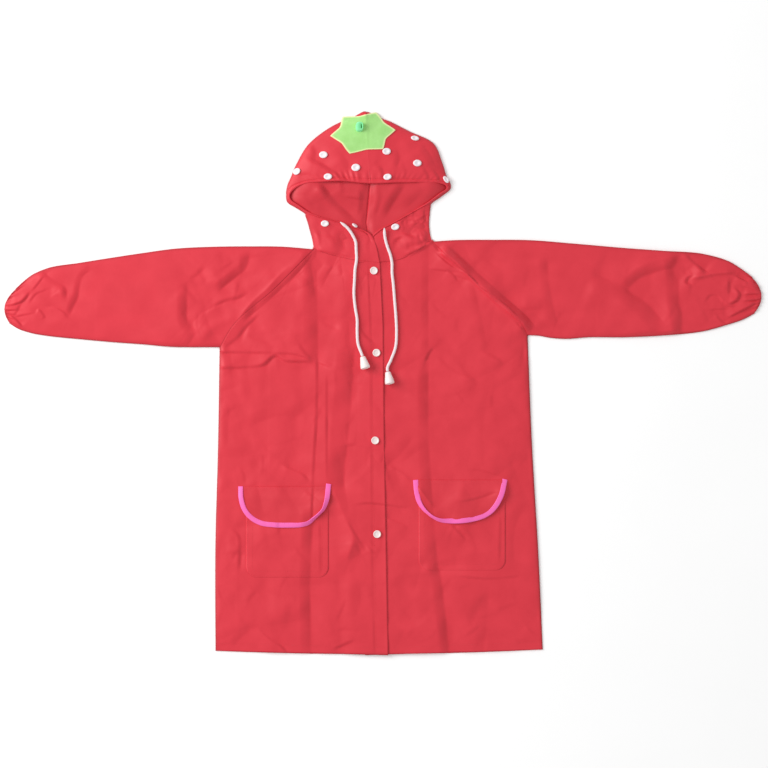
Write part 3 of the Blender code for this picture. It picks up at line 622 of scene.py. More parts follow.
def outline_of(side):
    """The outline of the upper layer: up the side seam, under the sleeve, round it and back on top."""
    sections = np.array(SLEEVE_SECTIONS[side])
    seam = curve_through(SIDE_SEAM[side], np.linspace(0, 1, 8))
    below = sections[:, 2:4]
    above = sections[::-1, 0:2]
    corner = (below[-1] + above[0]) / 2 + (SIDES[side] * (sections[-1, 4] + 0.002), 0)
    start = seam[0] + (0, -0.1)
    return np.concatenate([[start], seam, below[1:], [corner], above])


def beside(line, x, y):
    """How far each place is from a line, positive to its left, and how far along the line it is.

    The nearest point of every straight piece is found, and the nearest of them all is kept.
    """
    best = np.full(x.shape, np.inf)
    away = np.full(x.shape, np.inf)
    way = np.zeros(x.shape)
    done = 0.0
    for (x0, y0), (x1, y1) in zip(line[:-1], line[1:]):
        dx, dy = x1 - x0, y1 - y0
        span = math.hypot(dx, dy)
        share = np.clip(((x - x0) * dx + (y - y0) * dy) / (span * span), 0, 1)
        off_x, off_y = x - x0 - share * dx, y - y0 - share * dy
        far = np.hypot(off_x, off_y)
        nearer = far < best
        best = np.where(nearer, far, best)
        away = np.where(nearer, np.sign(dx * off_y - dy * off_x) * far, away)
        way = np.where(nearer, done + share * span, way)
        done += span
    return away, way


OUTLINE = {side: outline_of(side) for side in SIDES}
print("outlines", {side: f"{length_of(line):.2f} m" for side, line in OUTLINE.items()})

# %% [markdown]
# ### Creases
# A folded and unpacked raincoat keeps straight creases where it was folded, and pulls wrinkles at its
# seams. Each is placed as a line in millimetres, in one of three forms. A fold is a terrace:
# the cloth climbs slowly, then drops within a narrow band, and that band is the dark streak that the
# eye reads as a crease. A ridge falls away from its line on both sides, and a wave is a round swell.

# %% Creases of the fronts and sleeves
MM = 0.001
# Points in mm, height mm and two widths mm: the dropping band and the slow climb of a fold. Where a
# row says that it is a ridge or a wave, they are its left and right sides, seen along the line.
CREASES = [
    # Package folds down both fronts.
    ([(-101, 20), (-101, 60), (-102, 130), (-104, 215)], 3.0, 22, 36),
    ([(-110, -215), (-106, -120), (-102, -50), (-101, 40)], 1.5, 3, 12),
    ([(-111, -450), (-111.6, -393), (-113, -314), (-108, -190)], 4.0, 17, 32),
    ([(106, -450), (102, -399), (95, -346), (91, -310), (84, -275)], 4.8, 16, 34),
    ([(86, -300), (77, -190), (71, -90), (70, 20)], 2.8, 17, 30),
    ([(70.5, 0), (70, 90), (70, 215)], 1.5, 12, 30),
    ([(-86, 15), (-86, -70), (-86, -150)], 1.2, 3, 12),
    ([(-62, -170), (-54, -80), (-46, 10), (-44, 60)], 5.6, 28, 32),
    # Folds out of the armpits and across the chest.
    ([(-262, 47), (-191, 46), (-165, 45.5), (-140, 44), (-105, 33)], 2.4, 2.6, 9),
    ([(-262, 22), (-215, 23), (-185, 27), (-165, 41),
      (-155, 34), (-135, 32), (-105, 31), (-80, 22)], 3.0, 3.8, 9),
    ([(-130, 62), (-121, 50), (-112, 40), (-108, 30)], 2.2, 5, 13),
    ([(78, 54), (72, 46), (66, 34)], 2.1, 3, 9),
    ([(84, 66), (100, 58), (118, 40), (140, 30)], -0.9, 9, 9, "wave"),
    ([(-190, 130), (-205, 108), (-216, 80), (-222, 60)], -1.3, 5, 6, "wave"),
    ([(-104, 125), (-108, 160), (-114, 192)], 2.2, 12, 26),
    ([(-150, 60), (-120, 84), (-100, 80)], 1.1, 14, 14, "wave"),
    # The armhole at -X: a wide trough with a steep far side, and a second fold below it.
    ([(-216, 96), (-186, 120), (-166, 138),
      (-150, 153), (-126, 177), (-106, 203)], 3.8, 13, 24),
    ([(-229, 92), (-204, 124), (-180, 146), (-154, 173), (-140, 184)], 1.2, 3, 4, "ridge"),
    ([(-247, 52), (-223, 71), (-211, 86), (-190, 106)], 1.5, 5, 13),
    ([(-256, 140), (-246, 150), (-228, 164), (-214, 176), (-205, 205)], 4.6, 13, 34),
    ([(-262, 118), (-239, 127), (-226, 130), (-209, 137)], 3.7, 6, 16),
    ([(-221, 150), (-190, 158), (-166, 168)], 1.4, 10, 9, "wave"),
    ([(-290, 60), (-262, 88), (-240, 98), (-226, 104)], 1.4, 9, 8, "wave"),
    ([(-286, 82), (-301, 92), (-304, 122), (-303, 158)], 4.5, 15, 39),
    # The armhole at +X: a narrow groove, a ridge beside it and a broad dip on the sleeve.
    ([(224, 76), (191, 111), (168, 134), (146, 154),
      (129, 171), (108, 181), (80, 204)], 2.6, 2.6, 9),
    ([(229, 82), (209, 98), (171, 132), (135, 165), (114, 185), (84, 206)], 6.4, 3.0, 12.0, "ridge"),
    ([(236, 88), (223, 103), (188, 134), (153, 165), (119, 197), (96, 218)], 5.0, 12, 20),
    ([(70, 176), (95, 173), (118, 171)], 1.6, 3, 9),
    ([(70, 228), (78, 216), (92, 199)], 3.2, 4, 10),
    ([(108, 166), (120, 163), (132, 158)], 1.2, 3, 9),
    ([(150, 60), (190, 44), (232, 40)], -0.9, 8, 10, "wave"),
    # The sleeve at +X.
    ([(272, 90), (263, 122), (258, 150), (254, 196)], 2.6, 14, 34),
    ([(322, 172), (348, 161), (380, 145), (410, 122), (440, 88)], 6.2, 24, 40),
    ([(378, 136), (396, 158), (420, 171), (445, 177), (462, 178)], 5.6, 18, 26),
    ([(468, 66), (463, 108), (459, 128), (458, 152), (454, 198)], 7.4, 20, 34),
    ([(455, 186), (463, 178), (470, 170)], 1.9, 4, 10),
    ([(468, 204), (477, 194), (488, 185), (503, 171)], 6.6, 6, 16),
    ([(474, 160), (483, 163), (495, 165), (514, 169), (547, 171)], 2.8, 6, 2.2, "ridge"),
    ([(481, 166), (473, 162), (470, 156), (479, 153)], 2.9, 2.6, 9),
    ([(497, 124), (501, 128), (507, 135), (516, 135),
      (526, 125), (536, 118), (549, 117)], 2.4, 2.4, 9),
    ([(536, 158), (537, 148), (536, 138)], 2.3, 2.4, 9),
    ([(545, 149), (553, 138), (549, 128), (536, 121)], 3.4, 3, 9),
    ([(506, 113), (536, 114)], 1.3, 2.4, 9),
    ([(516, 108), (526, 96), (535, 91)], 2.4, 3.4, 9),
    ([(535, 100), (554, 110), (580, 123)], 4.4, 3, 9),
    ([(547, 166), (566, 156)], 2.3, 2.4, 9),
    ([(556, 150), (568, 146), (582, 141)], 2.3, 2.4, 9),
    ([(560, 136), (572, 137), (586, 138)], 3.3, 2.4, 9),
    ([(558, 126), (572, 127), (586, 129)], 2.2, 2.4, 9),
    # The sleeve at -X.
    ([(-487, 100), (-480, 118), (-473, 132),
      (-470, 151), (-465, 165), (-450, 176)], 2.9, 9, 18),
    ([(-532, 178), (-511, 160), (-493, 149), (-489, 125)], 3.2, 9, 14),
    ([(-524, 118), (-506, 117), (-495, 111), (-486, 101)], 1.7, 2.4, 9),
    ([(-515, 142), (-497, 140), (-482, 128)], 1.2, 8, 8, "wave"),
    ([(-539, 106), (-534, 115), (-528, 110), (-524, 101), (-531, 98)], 1.3, 2.4, 9),
    ([(-518, 146), (-523, 143), (-537, 137), (-548, 123)], 1.6, 3, 9),
    ([(-525, 165), (-534, 153), (-542, 143)], 1.4, 2.6, 9),
    ([(-546, 141), (-558, 126), (-577, 119)], 2.3, 3, 9),
    ([(-562, 121), (-567, 110), (-571, 104)], 1.7, 2.6, 9),
    ([(-572, 101), (-555, 105), (-540, 108)], 1.4, 2.4, 9),
    ([(-577, 107), (-566, 97), (-558, 88)], 2.0, 3, 9),
    ([(-550, 162), (-560, 150), (-570, 138)], 1.3, 2.6, 9),
    ([(-588, 112), (-578, 112), (-566, 113)], 1.4, 2.4, 9),
    ([(-530, 90), (-505, 95), (-470, 88)], 0.8, 8, 8, "wave"),
    # The skirt between the pockets and at the hem.
    ([(-157, -124), (-138, -133), (-122, -141), (-112, -152)], 2.5, 5, 13),
    ([(-225, -60), (-205, -110), (-185, -135)], -1.3, 12, 12, "wave"),
    ([(130, -135), (155, -137), (185, -147)], 1.7, 3, 9),
    ([(52, -158), (64, -174), (79, -194)], 1.7, 4, 3, "ridge"),
    ([(6, -128), (24, -138), (45, -152)], 1.5, 3, 4, "ridge"),
    ([(-79, -160), (-60, -205), (-46, -238), (-57, -276)], 2.0, 6, 15, "ridge"),
    ([(-55, -212), (-38, -240), (-25, -260)], 1.8, 4, 10),
    ([(-48, -190), (-25, -187), (0, -189), (42, -195)], 1.6, 3, 9),
    ([(3, -207), (22, -214), (40, -221)], 1.7, 3, 9),
    ([(-222, -292), (-220, -262), (-222, -236), (-234, -224)], 2.5, 5, 13),
    ([(-194, -378), (-173, -397), (-157, -407), (-145, -421)], 2.1, 3, 9),
    ([(-78, -414), (-60, -406), (-43, -399)], 1.6, 3, 9),
    ([(222, -374), (234, -386), (250, -396)], 1.6, 3, 9),
    ([(206, -398), (226, -402), (252, -399)], 1.4, 3, 9),
    ([(135, -345), (190, -366), (262, -372)], -2.0, 20, 26, "wave"),
    ([(112, -300), (165, -304), (216, -300)], 1.4, 3, 9),
    ([(150, -330), (170, -350), (175, -390)], -0.9, 8, 8, "wave"),
    ([(112, -186), (142, -181), (175, -170)], 2.0, 5, 13),
    ([(112, -223), (124, -228), (136, -236)], 1.5, 3, 2.4, "ridge"),
    ([(106, -219), (116, -228), (130, -243)], 1.6, 3, 9),
    ([(-96, -300), (-96, -250), (-97, -215)], 1.2, 3, 9),
    ([(-230, -320), (-170, -336), (-120, -330)], -0.7, 16, 14, "wave"),
    ([(181, -278), (182, -240), (183, -205)], 1.0, 3, 9),
    ([(20, -300), (40, -330), (36, -380)], -0.9, 14, 14, "wave"),
    # The neck seam, and the button band.
    ([(-107, 206), (-77, 200), (-45, 193)], 2.5, 2.8, 9),
    ([(30, 193), (50, 201), (78, 217)], 2.4, 2.8, 9),
    ([(-12, -425), (-15.5, -300), (-17, -88), (-19, 90), (-23, 186)], 0.7, 2.4, 9),
    ([(228, 80), (208, 96), (170, 130), (134, 163), (113, 183), (84, 204)], 1.0, 1.6, 1.4, "ridge"),
    # The button band's stitched layers below the last snap, and a pull towards the second snap.
    ([(-22, -240), (-12, -252), (-4, -256)], 1.1, 2.4, 8),
    ([(-24, -250), (-14, -262), (-6, -268)], 0.9, 2.4, 8),
    ([(-40, 88), (-22, 70), (-8, 58)], 1.6, 5, 14),
    # Short creases off the armhole and the waist of the wearer's left front.
    ([(100, 176), (112, 166), (116, 158)], 1.8, 3.4, 9),
    ([(84, 44), (112, 20), (150, 8)], 1.6, 7, 18),
    ([(150, 52), (176, 40), (190, 30)], 1.4, 5, 12),
]
print(len(CREASES), "creases placed by hand")


# %% The height of a crease
def stroke_height(x, y, points, height, first, second, form="fold", uneven=0.0):
    """One crease, in metres. With d the distance from the line: a ridge is height times
    exp(-d/width), a wave is height times exp(-(d/width)^2), each with its own width to the left and
    the right. A fold drops by its height within the band on the lamp's side of the line, half of it
    above and half below the cloth, and both halves die away slowly. The ends of each fade, and its
    height drifts along it.
    """
    line = curve_through(np.array(points, float) * MM, np.linspace(0, 1, 6 * len(points)))
    reach = MM * 3.6 * max(first, second)
    low, high = line.min(axis=0) - reach, line.max(axis=0) + reach
    near = (x > low[0]) & (x < high[0]) & (y > low[1]) & (y < high[1])
    total = np.zeros_like(x)
    if not near.any():
        return total
    away, way = beside(line, x[near], y[near])
    if form == "fold":
        chord = line[-1] - line[0]
        lamp_on_left = chord[0] * LAMP_AT[1] - chord[1] * LAMP_AT[0] > 0
        band, slow = MM * first, MM * second
        beyond = np.where(lamp_on_left, -away, away) + band
        past = np.maximum(np.abs(beyond - band / 2) - band / 2, 0)
        shape = (0.5 - np.clip(beyond / band, 0, 1) ** 1.7) * np.exp(-past / slow)
    else:
        d = np.abs(away) / (MM * np.where(away > 0, first, second))
        ridge = np.exp(-np.sqrt(d * d + 0.02)) * math.exp(0.14)  # its crest is rounded a little
        shape = np.exp(-(d**2)) if form == "wave" else ridge
    long = length_of(line)
    fade = min(0.3 * long, 0.018)
    ends = smooth_step((way + 0.002) / fade) * smooth_step((long - way + 0.002) / fade)
    ripple = 1 + 0.3 * np.sin(way / 0.021 + uneven) + 0.2 * np.sin(way / 0.0083 + 2.3 * uneven)
    total[near] = MM * height * shape * ends * ripple
    return total


def crease_height(x, y, table):
    """The sum of a table's creases."""
    total = np.zeros_like(x)
    for number, crease in enumerate(table):
        total += stroke_height(x, y, *crease, uneven=1.7 * number)
    return total


sample = crease_height(np.linspace(-0.14, -0.06, 5), np.full(5, 0.1), CREASES[:1])
print("across the first fold, mm", np.round(sample * 1000, 2).tolist())


# %% Small creases and slow puffs
def seeded_creases(seed, count, low, high, longest, steepest):
    """Short faint creases at seeded places, for the crumple that is too fine to place by hand."""
    random = np.random.default_rng(seed)
    table = []
    for _ in range(count):
        middle = random.uniform(low, high)
        turn = random.uniform(0, math.pi)
        half = random.uniform(0.3, 1.0) * longest / 2
        bend = random.uniform(-0.2, 0.2) * half
        along = np.array([math.cos(turn), math.sin(turn)])
        across = np.array([-along[1], along[0]])
        points = [middle - half * along, middle + bend * across, middle + half * along]
        band = random.uniform(0.08, 0.16) * longest
        height = random.uniform(0.25, 1.0) * steepest * band
        table.append((points, height, band, 3 * band))
    return table


def puffs(x, y, seed, count=26, shortest=0.028, longest=0.11):
    """A slow uneven swell: seeded sine waves in all directions, as high as they are long."""
    random = np.random.default_rng(seed)
    total = np.zeros_like(x)
    for _ in range(count):
        long = math.exp(random.uniform(math.log(shortest), math.log(longest)))
        turn, phase = random.uniform(0, 2 * math.pi, 2)
        way = x * math.cos(turn) + y * math.sin(turn)
        total += long * np.sin(2 * math.pi / long * way + phase)
    return total / math.sqrt(count)


SMALL_CREASES = {  # seed, count, lowest and highest x and y, length mm, steepness
    "right": [
        *seeded_creases(11, 60, (-300, -415), (0, 215), 130, 0.11),
        *seeded_creases(12, 80, (-320, -415), (0, 215), 45, 0.19),
    ],
    "left": [
        *seeded_creases(23, 60, (0, -415), (300, 215), 130, 0.1),
        *seeded_creases(24, 90, (0, -415), (580, 215), 45, 0.17),
    ],
}
print({side: len(table) for side, table in SMALL_CREASES.items()}, "small creases")

# %% [markdown]
# ### The height of the upper layer
# The loft rises steeply within a centimetre of the outline, as a folded edge does, and then crowns
# slowly towards the middle. Where the right front laps over the left one it climbs by one layer, and
# its free edge stands up a little, which gives it its shadow.

# %% Height of the upper layer over the table
FOLD_RISE, EDGE_RISE, CROWN_RISE = 0.0027, 0.0015, 0.001  # at the fold, near it, and far inside
LEAST_GAP = 0.0011  # from the middle of the lowest layer to the middle of the next
PUFF = 0.006  # height of a puff as a share of its length


def loft(edge):
    """Rise from a fold at the outline: one layer at once, most of the rest within a centimetre."""
    near, far = 1 - np.exp(-edge / 0.0065), smooth_step(edge / 0.08)
    return FOLD_RISE + EDGE_RISE * near + CROWN_RISE * far


def upper_height(side, x, y):
    """Middle of the upper layer, fronts and sleeves alike."""
    edge = np.abs(beside(OUTLINE[side], x, y)[0])
    near_edge = smooth_step(edge / 0.007)
    hem = 0.62 + 0.38 * smooth_step((y - HEM_Y) / 0.09)
    creases = crease_height(x, y, CREASES) + crease_height(x, y, SMALL_CREASES[side])
    free = creases * (0.25 + 0.75 * near_edge) + PUFF * near_edge * puffs(x, y, 5)
    return soft_floor(LOW_Z + (loft(edge) - LOW_Z) * hem + free, LOW_Z + LEAST_GAP)


def front_height(side, x, y):
    """The fronts: the right one climbs over the left before that one's edge, and its own edge lifts."""
    z = upper_height(side, x, y)
    if side == "right":
        to_edge = overlap_x(y) - x
        climb = smooth_step((0.078 - to_edge) / 0.026)
        z = z + LAYER * climb + 0.0007 * np.exp(-np.abs(to_edge) / 0.006)
    return z


def body_top(x, y):
    """The cloth that shows on the body: the right front as far as its edge, and then the left."""
    return np.where(x <= overlap_x(y), front_height("right", x, y), front_height("left", x, y))


sample = front_height("right", np.linspace(-0.25, 0, 6), np.full(6, -0.05))
print("right front height across the chest, mm", np.round(sample * 1000, 2).tolist())

# %% [markdown]
# ## The drawcord
# A round cord runs in the casing round the hood's mouth, and its two ends hang out over the chest,
# each with a bell-shaped plastic end. A cord is a circle carried along its route, and its start
# narrows where it comes out of its hole. It rests on whatever cloth is highest under it.

# %% Routes of the two cord ends
CORD_DIAMETER = 0.0045
CLEAR = 0.0002  # air between pieces that lie on each other
CORD_ROUTES = {
    "right": [
        (-0.066, 0.249, 0.0112), (-0.055, 0.24, 0.0108), (-0.046, 0.227, 0.0105),
        (-0.0425, 0.219, 0.0102), (-0.0415, 0.206, 0.01), (-0.041, 0.19, 0.0098),
        (-0.043, 0.178, 0.0096), (-0.044, 0.16, 0.0094), (-0.045, 0.139, 0.0092),
        (-0.043, 0.117, 0.0092), (-0.04, 0.098, 0.0092), (-0.04, 0.08, 0.0092),
        (-0.0385, 0.06, 0.0098), (-0.033, 0.045, 0.0112), (-0.0318, 0.0415, 0.0115),
    ],
    "left": [
        (0.002, 0.24, 0.0092), (0.003, 0.226, 0.009), (0.0065, 0.212, 0.0086),
        (0.0115, 0.198, 0.0082), (0.014, 0.185, 0.008), (0.014, 0.172, 0.0078),
        (0.016, 0.153, 0.0076), (0.018, 0.128, 0.0076), (0.02, 0.103, 0.0076),
        (0.021, 0.078, 0.0076), (0.0195, 0.056, 0.0078), (0.012, 0.035, 0.008),
        (0.0068, 0.022, 0.0096), (0.0072, 0.018, 0.0099),
    ],
}
BELL_ENDS = {"right": (-0.0268, 0.0224, 0.0146), "left": (0.0112, -0.0034, 0.013)}
# The bell from the middle of its neck, out and down to its mouth, and back up inside: along, radius.
BELL_PROFILE = [
    (0.0, 0.0), (0.0, 0.0034), (0.0006, 0.0043), (0.003, 0.0046),
    (0.007, 0.0055), (0.011, 0.0066), (0.015, 0.0073), (0.0176, 0.0075),
    (0.0188, 0.007), (0.019, 0.0062), (0.0184, 0.0056), (0.015, 0.005),
    (0.014, 0.0),
]
print("points on each route", {side: len(route) for side, route in CORD_ROUTES.items()})

# %% Turned pieces and tubes
UPWARDS = (0.0, 0.0, 1.0)
RING_CORNERS = 40  # of a turned piece, before it is softened


def turned_points(profile, segments, origin, axis, side, wide=1.0):
    """A profile of (along, radius) turned about an axis, its first and last points on that axis."""
    axis, side = (np.asarray(v, float) / np.linalg.norm(v) for v in (axis, side))
    across = np.cross(axis, side)
    angle = np.linspace(0, 2 * math.pi, segments, endpoint=False)[None, :, None]
    along, radius = (np.array(profile)[1:-1, k][:, None, None] for k in (0, 1))
    rings = origin + along * axis + radius * (wide * np.cos(angle) * side + np.sin(angle) * across)
    ends = [np.asarray(origin) + profile[k][0] * axis for k in (0, -1)]
    return np.concatenate([rings.reshape(-1, 3), ends])


def turned_faces(rings, segments):
    """Quads between the rings and a fan of triangles at each pole."""
    here = np.arange(segments)
    after = (here + 1) % segments
    first, last = rings * segments, rings * segments + 1
    start = (rings - 1) * segments
    fan = np.stack([np.full(segments, first), after, here], axis=1)
    tail = np.stack([np.full(segments, last), start + here, start + after], axis=1)
    return [quads_of(rings, segments, True), np.concatenate([fan, tail])]


def turned_piece(
    name, profile, origin, axis, side, finish, stands_for, corners=RING_CORNERS, wide=1.0
):
    """A closed piece turned from a profile, and softened."""
    points = turned_points(profile, corners, origin, axis, side, wide)
    faces = turned_faces(len(profile) - 2, corners)
    return rounded(add_piece(name, points, faces, finish, stands_for, closed=True))


def tube_points(line, radius, sides):
    """Rings of a tube: each stands square to the line, round its sideways and upward directions."""
    along = unit_rows(np.gradient(line, axis=0))
    side = unit_rows(np.cross(along, UPWARDS))
    up = np.cross(side, along)
    angle = np.linspace(0, 2 * math.pi, sides, endpoint=False)[None, :, None]
    round_line = np.cos(angle) * side[:, None] + np.sin(angle) * up[:, None]
    return line[:, None] + radius[:, None, None] * round_line


def tube_piece(name, rings, line, around, finish, stands_for):
    """A tube from its rings, closed at both ends of its middle line. Its cloth's first measure is
    metres along the line, and its second is the given share of the way round.
    """
    points = np.concatenate([rings.reshape(-1, 3), line[:1], line[-1:]])
    way = way_along(line)
    uv = np.stack(np.broadcast_arrays(way[:, None], around[None]), axis=-1).reshape(-1, 2)
    uv = np.concatenate([uv, [(0, 0), (way[-1], 0)]])
    faces = turned_faces(len(line), len(around))
    return add_piece(name, points, faces, finish, stands_for, uv, closed=True)


print("a bell has", len(turned_faces(len(BELL_PROFILE) - 2, RING_CORNERS)[0]), "quads")


# %% The two cord ends
def cord_line(route):
    """The cord's middle line: a smooth curve through its route, lifted where the cloth is higher."""
    line = curve_through(route, np.linspace(0, 1, 150))
    rest = body_top(line[:, 0], line[:, 1]) + WALL + CORD_DIAMETER / 2 + CLEAR
    share = np.linspace(0, 1, len(line))
    settle = smooth_step(share / 0.1) * smooth_step((1 - share) / 0.16)
    high = np.maximum(line[:, 2] - 0.0014 * settle, rest)
    around = np.array([np.roll(np.pad(high, 12, mode="edge"), k)[12:-12] for k in range(-9, 10)])
    line[:, 2] = np.maximum(high, around.mean(axis=0))
    return line


def drawcord(side):
    """A braided cord end, with its bell turned about the cord's own last direction."""
    line = cord_line(CORD_ROUTES[side])
    way = way_along(line)
    strands = 0.00008 * np.sin(way / 0.0011)
    radius = CORD_DIAMETER / 2 * (0.35 + 0.65 * smooth_step(way / 0.006)) + strands
    around = np.linspace(0, 1, 20, endpoint=False)
    rings = tube_points(line, radius, len(around))
    name, nodes = f"{side}_drawcord_braid", [f"{side}_drawcord"]
    cord = tube_piece(name, rings, line, around, cord_white, nodes)
    mouth = np.array(BELL_ENDS[side])
    axis = (mouth - line[-1]) / np.linalg.norm(mouth - line[-1])
    bell = turned_piece(
        f"{side}_cord_bell",
        BELL_PROFILE,
        line[-1] + axis * 0.0008,
        axis,
        np.cross(axis, UPWARDS),
        bell_plastic,
        [f"{side}_cord_end"],
    )
    return length_of(line)


for side in SIDES:
    print(side, f"cord end {drawcord(side):.4f} m")

# %% [markdown]
# ## Stitches, and helpers for cloth pieces
# Every sewn edge shows a row of short stitches. A stitch is a spindle that dives into the cloth at
# both ends: one template is worked out once and placed at every stitch of a row.

# %% Stitches
STITCH_PITCH, STITCH_LONG, STITCH_THICK = 0.0034, 0.0024, 0.00052
STITCH_RINGS, STITCH_SIDES = 4, 5


def evenly_spaced(line, step=0.0015):
    """The same flat line with points a step apart."""
    way = way_along(line)
    at = np.linspace(0, way[-1], int(way[-1] / step) + 1)
    return np.stack([np.interp(at, way, line[:, k]) for k in range(line.shape[1])], axis=1)


def on_top(line):
    """A line on the middle of a cloth lifted to the cloth's upper face."""
    return line + (0.0, 0.0, WALL / 2)


def laid_on(height, side, row):
    """A flat row lifted to the upper face of the cloth whose height is given."""
    return on_top(np.c_[row, height(side, row[:, 0], row[:, 1])])


def stitch_template():
    """A spindle in its own directions, along, sideways and up: its thickness and its rise follow the
    sine of the share of its length, and its ends lie below the cloth.
    """
    share = np.linspace(0, 1, STITCH_RINGS + 2)[1:-1, None]
    angle = np.linspace(0, 2 * math.pi, STITCH_SIDES, endpoint=False)
    radius = STITCH_THICK / 2 * np.sqrt(np.sin(math.pi * share))
    rise = STITCH_THICK * (np.sin(math.pi * share) - 0.75)
    along = STITCH_LONG * (share - 0.5) + 0 * angle
    rings = np.stack([along, radius * np.cos(angle), radius * np.sin(angle) + rise], axis=-1)
    ends = [(half, 0, -0.75 * STITCH_THICK) for half in (-STITCH_LONG / 2, STITCH_LONG / 2)]
    return np.concatenate([rings.reshape(-1, 3), ends])


def stitches(name, rows, finish=thread_red):
    """One mesh of all the stitches along the given rows of x, y and z."""
    places, directions, ways = [], [], []
    for row in rows:
        way = way_along(row)
        at = np.arange(STITCH_PITCH / 2, way[-1] - STITCH_PITCH / 2, STITCH_PITCH)
        before, after = (
            np.stack([np.interp(at + half, way, row[:, k]) for k in range(3)], axis=1)
            for half in (-STITCH_LONG / 2, STITCH_LONG / 2)
        )
        places.append((before + after) / 2)
        directions.append(after - before)
        ways.append(at)
    place, along, way = (np.concatenate(lists) for lists in (places, directions, ways))
    along = unit_rows(along)
    side = unit_rows(np.cross(along, UPWARDS))
    axes = (along, side, np.cross(side, along))
    shape = stitch_template()
    parts = [shape[None, :, k, None] * axis[:, None] for k, axis in enumerate(axes)]
    points = place[:, None] + sum(parts)
    first = len(shape) * np.arange(len(place))[:, None, None]
    tables = turned_faces(STITCH_RINGS, STITCH_SIDES)
    faces = [(table[None] + first).reshape(-1, table.shape[1]) for table in tables]
    along_thread, round_thread = way[:, None] + shape[None, :, 0], shape[None, :, 1] / STITCH_THICK
    uv = np.stack(np.broadcast_arrays(along_thread, round_thread), axis=-1)
    made = add_piece(name, points, faces, finish, uv=uv, closed=True)
    print(name, len(place), "stitches")
    return made


print("a stitch has", sum(len(table) for table in turned_faces(STITCH_RINGS, STITCH_SIDES)), "faces")


# %% Cloth pieces, and the area of a grid
def cloth_area(grid):
    """Area of a grid's quads: half the size of the cross product of each one's diagonals."""
    first, second = grid[1:, 1:] - grid[:-1, :-1], grid[1:, :-1] - grid[:-1, 1:]
    return float(np.linalg.norm(np.cross(first, second), axis=2).sum() / 2)


def declare_cloth(grid, with_pieces=(), loop=False):
    """Closes a looping grid round with a copy of its first column, and does nothing more with it.
    """
    if loop:
        grid = np.concatenate([grid, grid[:, :1]], axis=1)


def shell_piece(name, grid, stands_for, loop=False, edge=None):
    """A piece of the shell's cloth with its wall, from the grid of its middle surface."""
    faces = quads_of(*grid.shape[:2], loop)
    made = add_piece(name, grid, faces, shell_cloth, stands_for, edge=edge)
    give_wall(made, WALL)
    print(name, f"{len(faces)} faces, top {grid[..., 2].max() * 1000:.1f} mm")
    return made


square = np.dstack([*np.meshgrid([0, 0.1], [0, 0.1]), np.zeros((2, 2))])
print(f"a square of 0.1 m has {cloth_area(square):.3f} m2")

# %% [markdown]
# ## Fronts and back
# Each front is a sheet cut from the hem to the neck, with its side and raglan edges sewn to the back
# and the sleeve. Its rows run up the coat and its columns across. Past the raglan and neck seams a
# narrow strip dips under the neighbour, as a seam turning does, so no gap shows between pieces.

# %% The grid of a front
TURNING = 0.0022  # strip that runs on under the neighbouring piece
ARMPIT_SHARE = 0.72  # of the rows from the hem to the neck
NECK_Y = 0.186
UNDERLAP = 0.036  # how far the left front runs on under the right one
OUTLINE_SHADE_BAND = 0.0014  # how fast the painted shade along the outline dies away


def outline_shade_of(side, grid):
    """Painted shade along the outline and the hem of the coat: 1 there, falling to a third within the
    band.
    """
    away = np.abs(beside(OUTLINE[side], grid[..., 0], grid[..., 1])[0])
    hem = np.maximum(grid[..., 1] - HEM_Y - 0.001, 0)
    return np.exp(-np.minimum(away, hem) / OUTLINE_SHADE_BAND)


def side_edge(side, rows):
    """The sewn edge of a front or the back: rows up the side seam and then along the raglan seam."""
    low_rows = int(rows * ARMPIT_SHARE)
    side_seam = curve_through(SIDE_SEAM[side], np.linspace(0, 1, low_rows))
    raglan = curve_through(RAGLAN_SEAM[side], np.linspace(0, 1, rows - low_rows + 1))
    return np.concatenate([side_seam, raglan[1:]]), low_rows


def drawn_to_neck(flat, share, neck_line):
    """The rows near the top bend until the last one follows the neck's line."""
    neck = curve_through(neck_line, np.linspace(0, 1, flat.shape[1]))
    return flat + smooth_step((share - 0.86) / 0.14)[:, None, None] * (neck - flat[-1])


def front_flat(side, rows, columns):
    """Places of a front's grid on the table: rows from the hem up, columns from the centre out."""
    outer, low_rows = side_edge(side, rows)
    above = np.linspace(ARMPIT_SHARE, 1, rows - low_rows + 1)[1:]
    share = np.r_[np.linspace(0, ARMPIT_SHARE, low_rows), above]
    inner_y = HEM_Y + share * (NECK_Y - HEM_Y)
    inner_x = overlap_x(inner_y) - (UNDERLAP if side == "left" else 0.0)
    inner = np.stack([inner_x, inner_y], axis=1)
    across = np.linspace(0, 1, columns)[None, :, None]
    flat = inner[:, None] * (1 - across) + outer[:, None] * across
    return drawn_to_neck(flat, share, NECK_SEAM[side][::-1]), share >= ARMPIT_SHARE, outer


def front_panel(side, rows, columns):
    """A front's grid, with a column more that turns under the sleeve and a row more under the hood."""
    flat, above, outer = front_flat(side, rows, columns)
    z = front_height(side, flat[..., 0], flat[..., 1])
    outwards = shifted(outer, -SIDES[side]) - outer
    strip = np.where(above, TURNING, 0.0004)[:, None]
    flat = np.concatenate([flat, flat[:, -1:] + (outwards * strip)[:, None]], axis=1)
    edge_z = np.where(above, z[:, -1] - 0.001, LOW_Z + 0.0007)
    z[:, -1] -= np.where(above, 0.00035, 0.0004)
    z = np.concatenate([z, edge_z[:, None]], axis=1)
    top = flat[-1:] + (0.0, TURNING)
    flat = np.concatenate([flat, top])
    z = np.concatenate([z, z[-1:] - 0.0009])
    return np.dstack([flat, z])


print("rows below the armpit", side_edge("right", 322)[1])

# %% The two fronts
HEM_DEPTH, BAND_WIDTH, TOPSTITCH = 0.012, 0.018, 0.003  # from the edge to its row of stitches


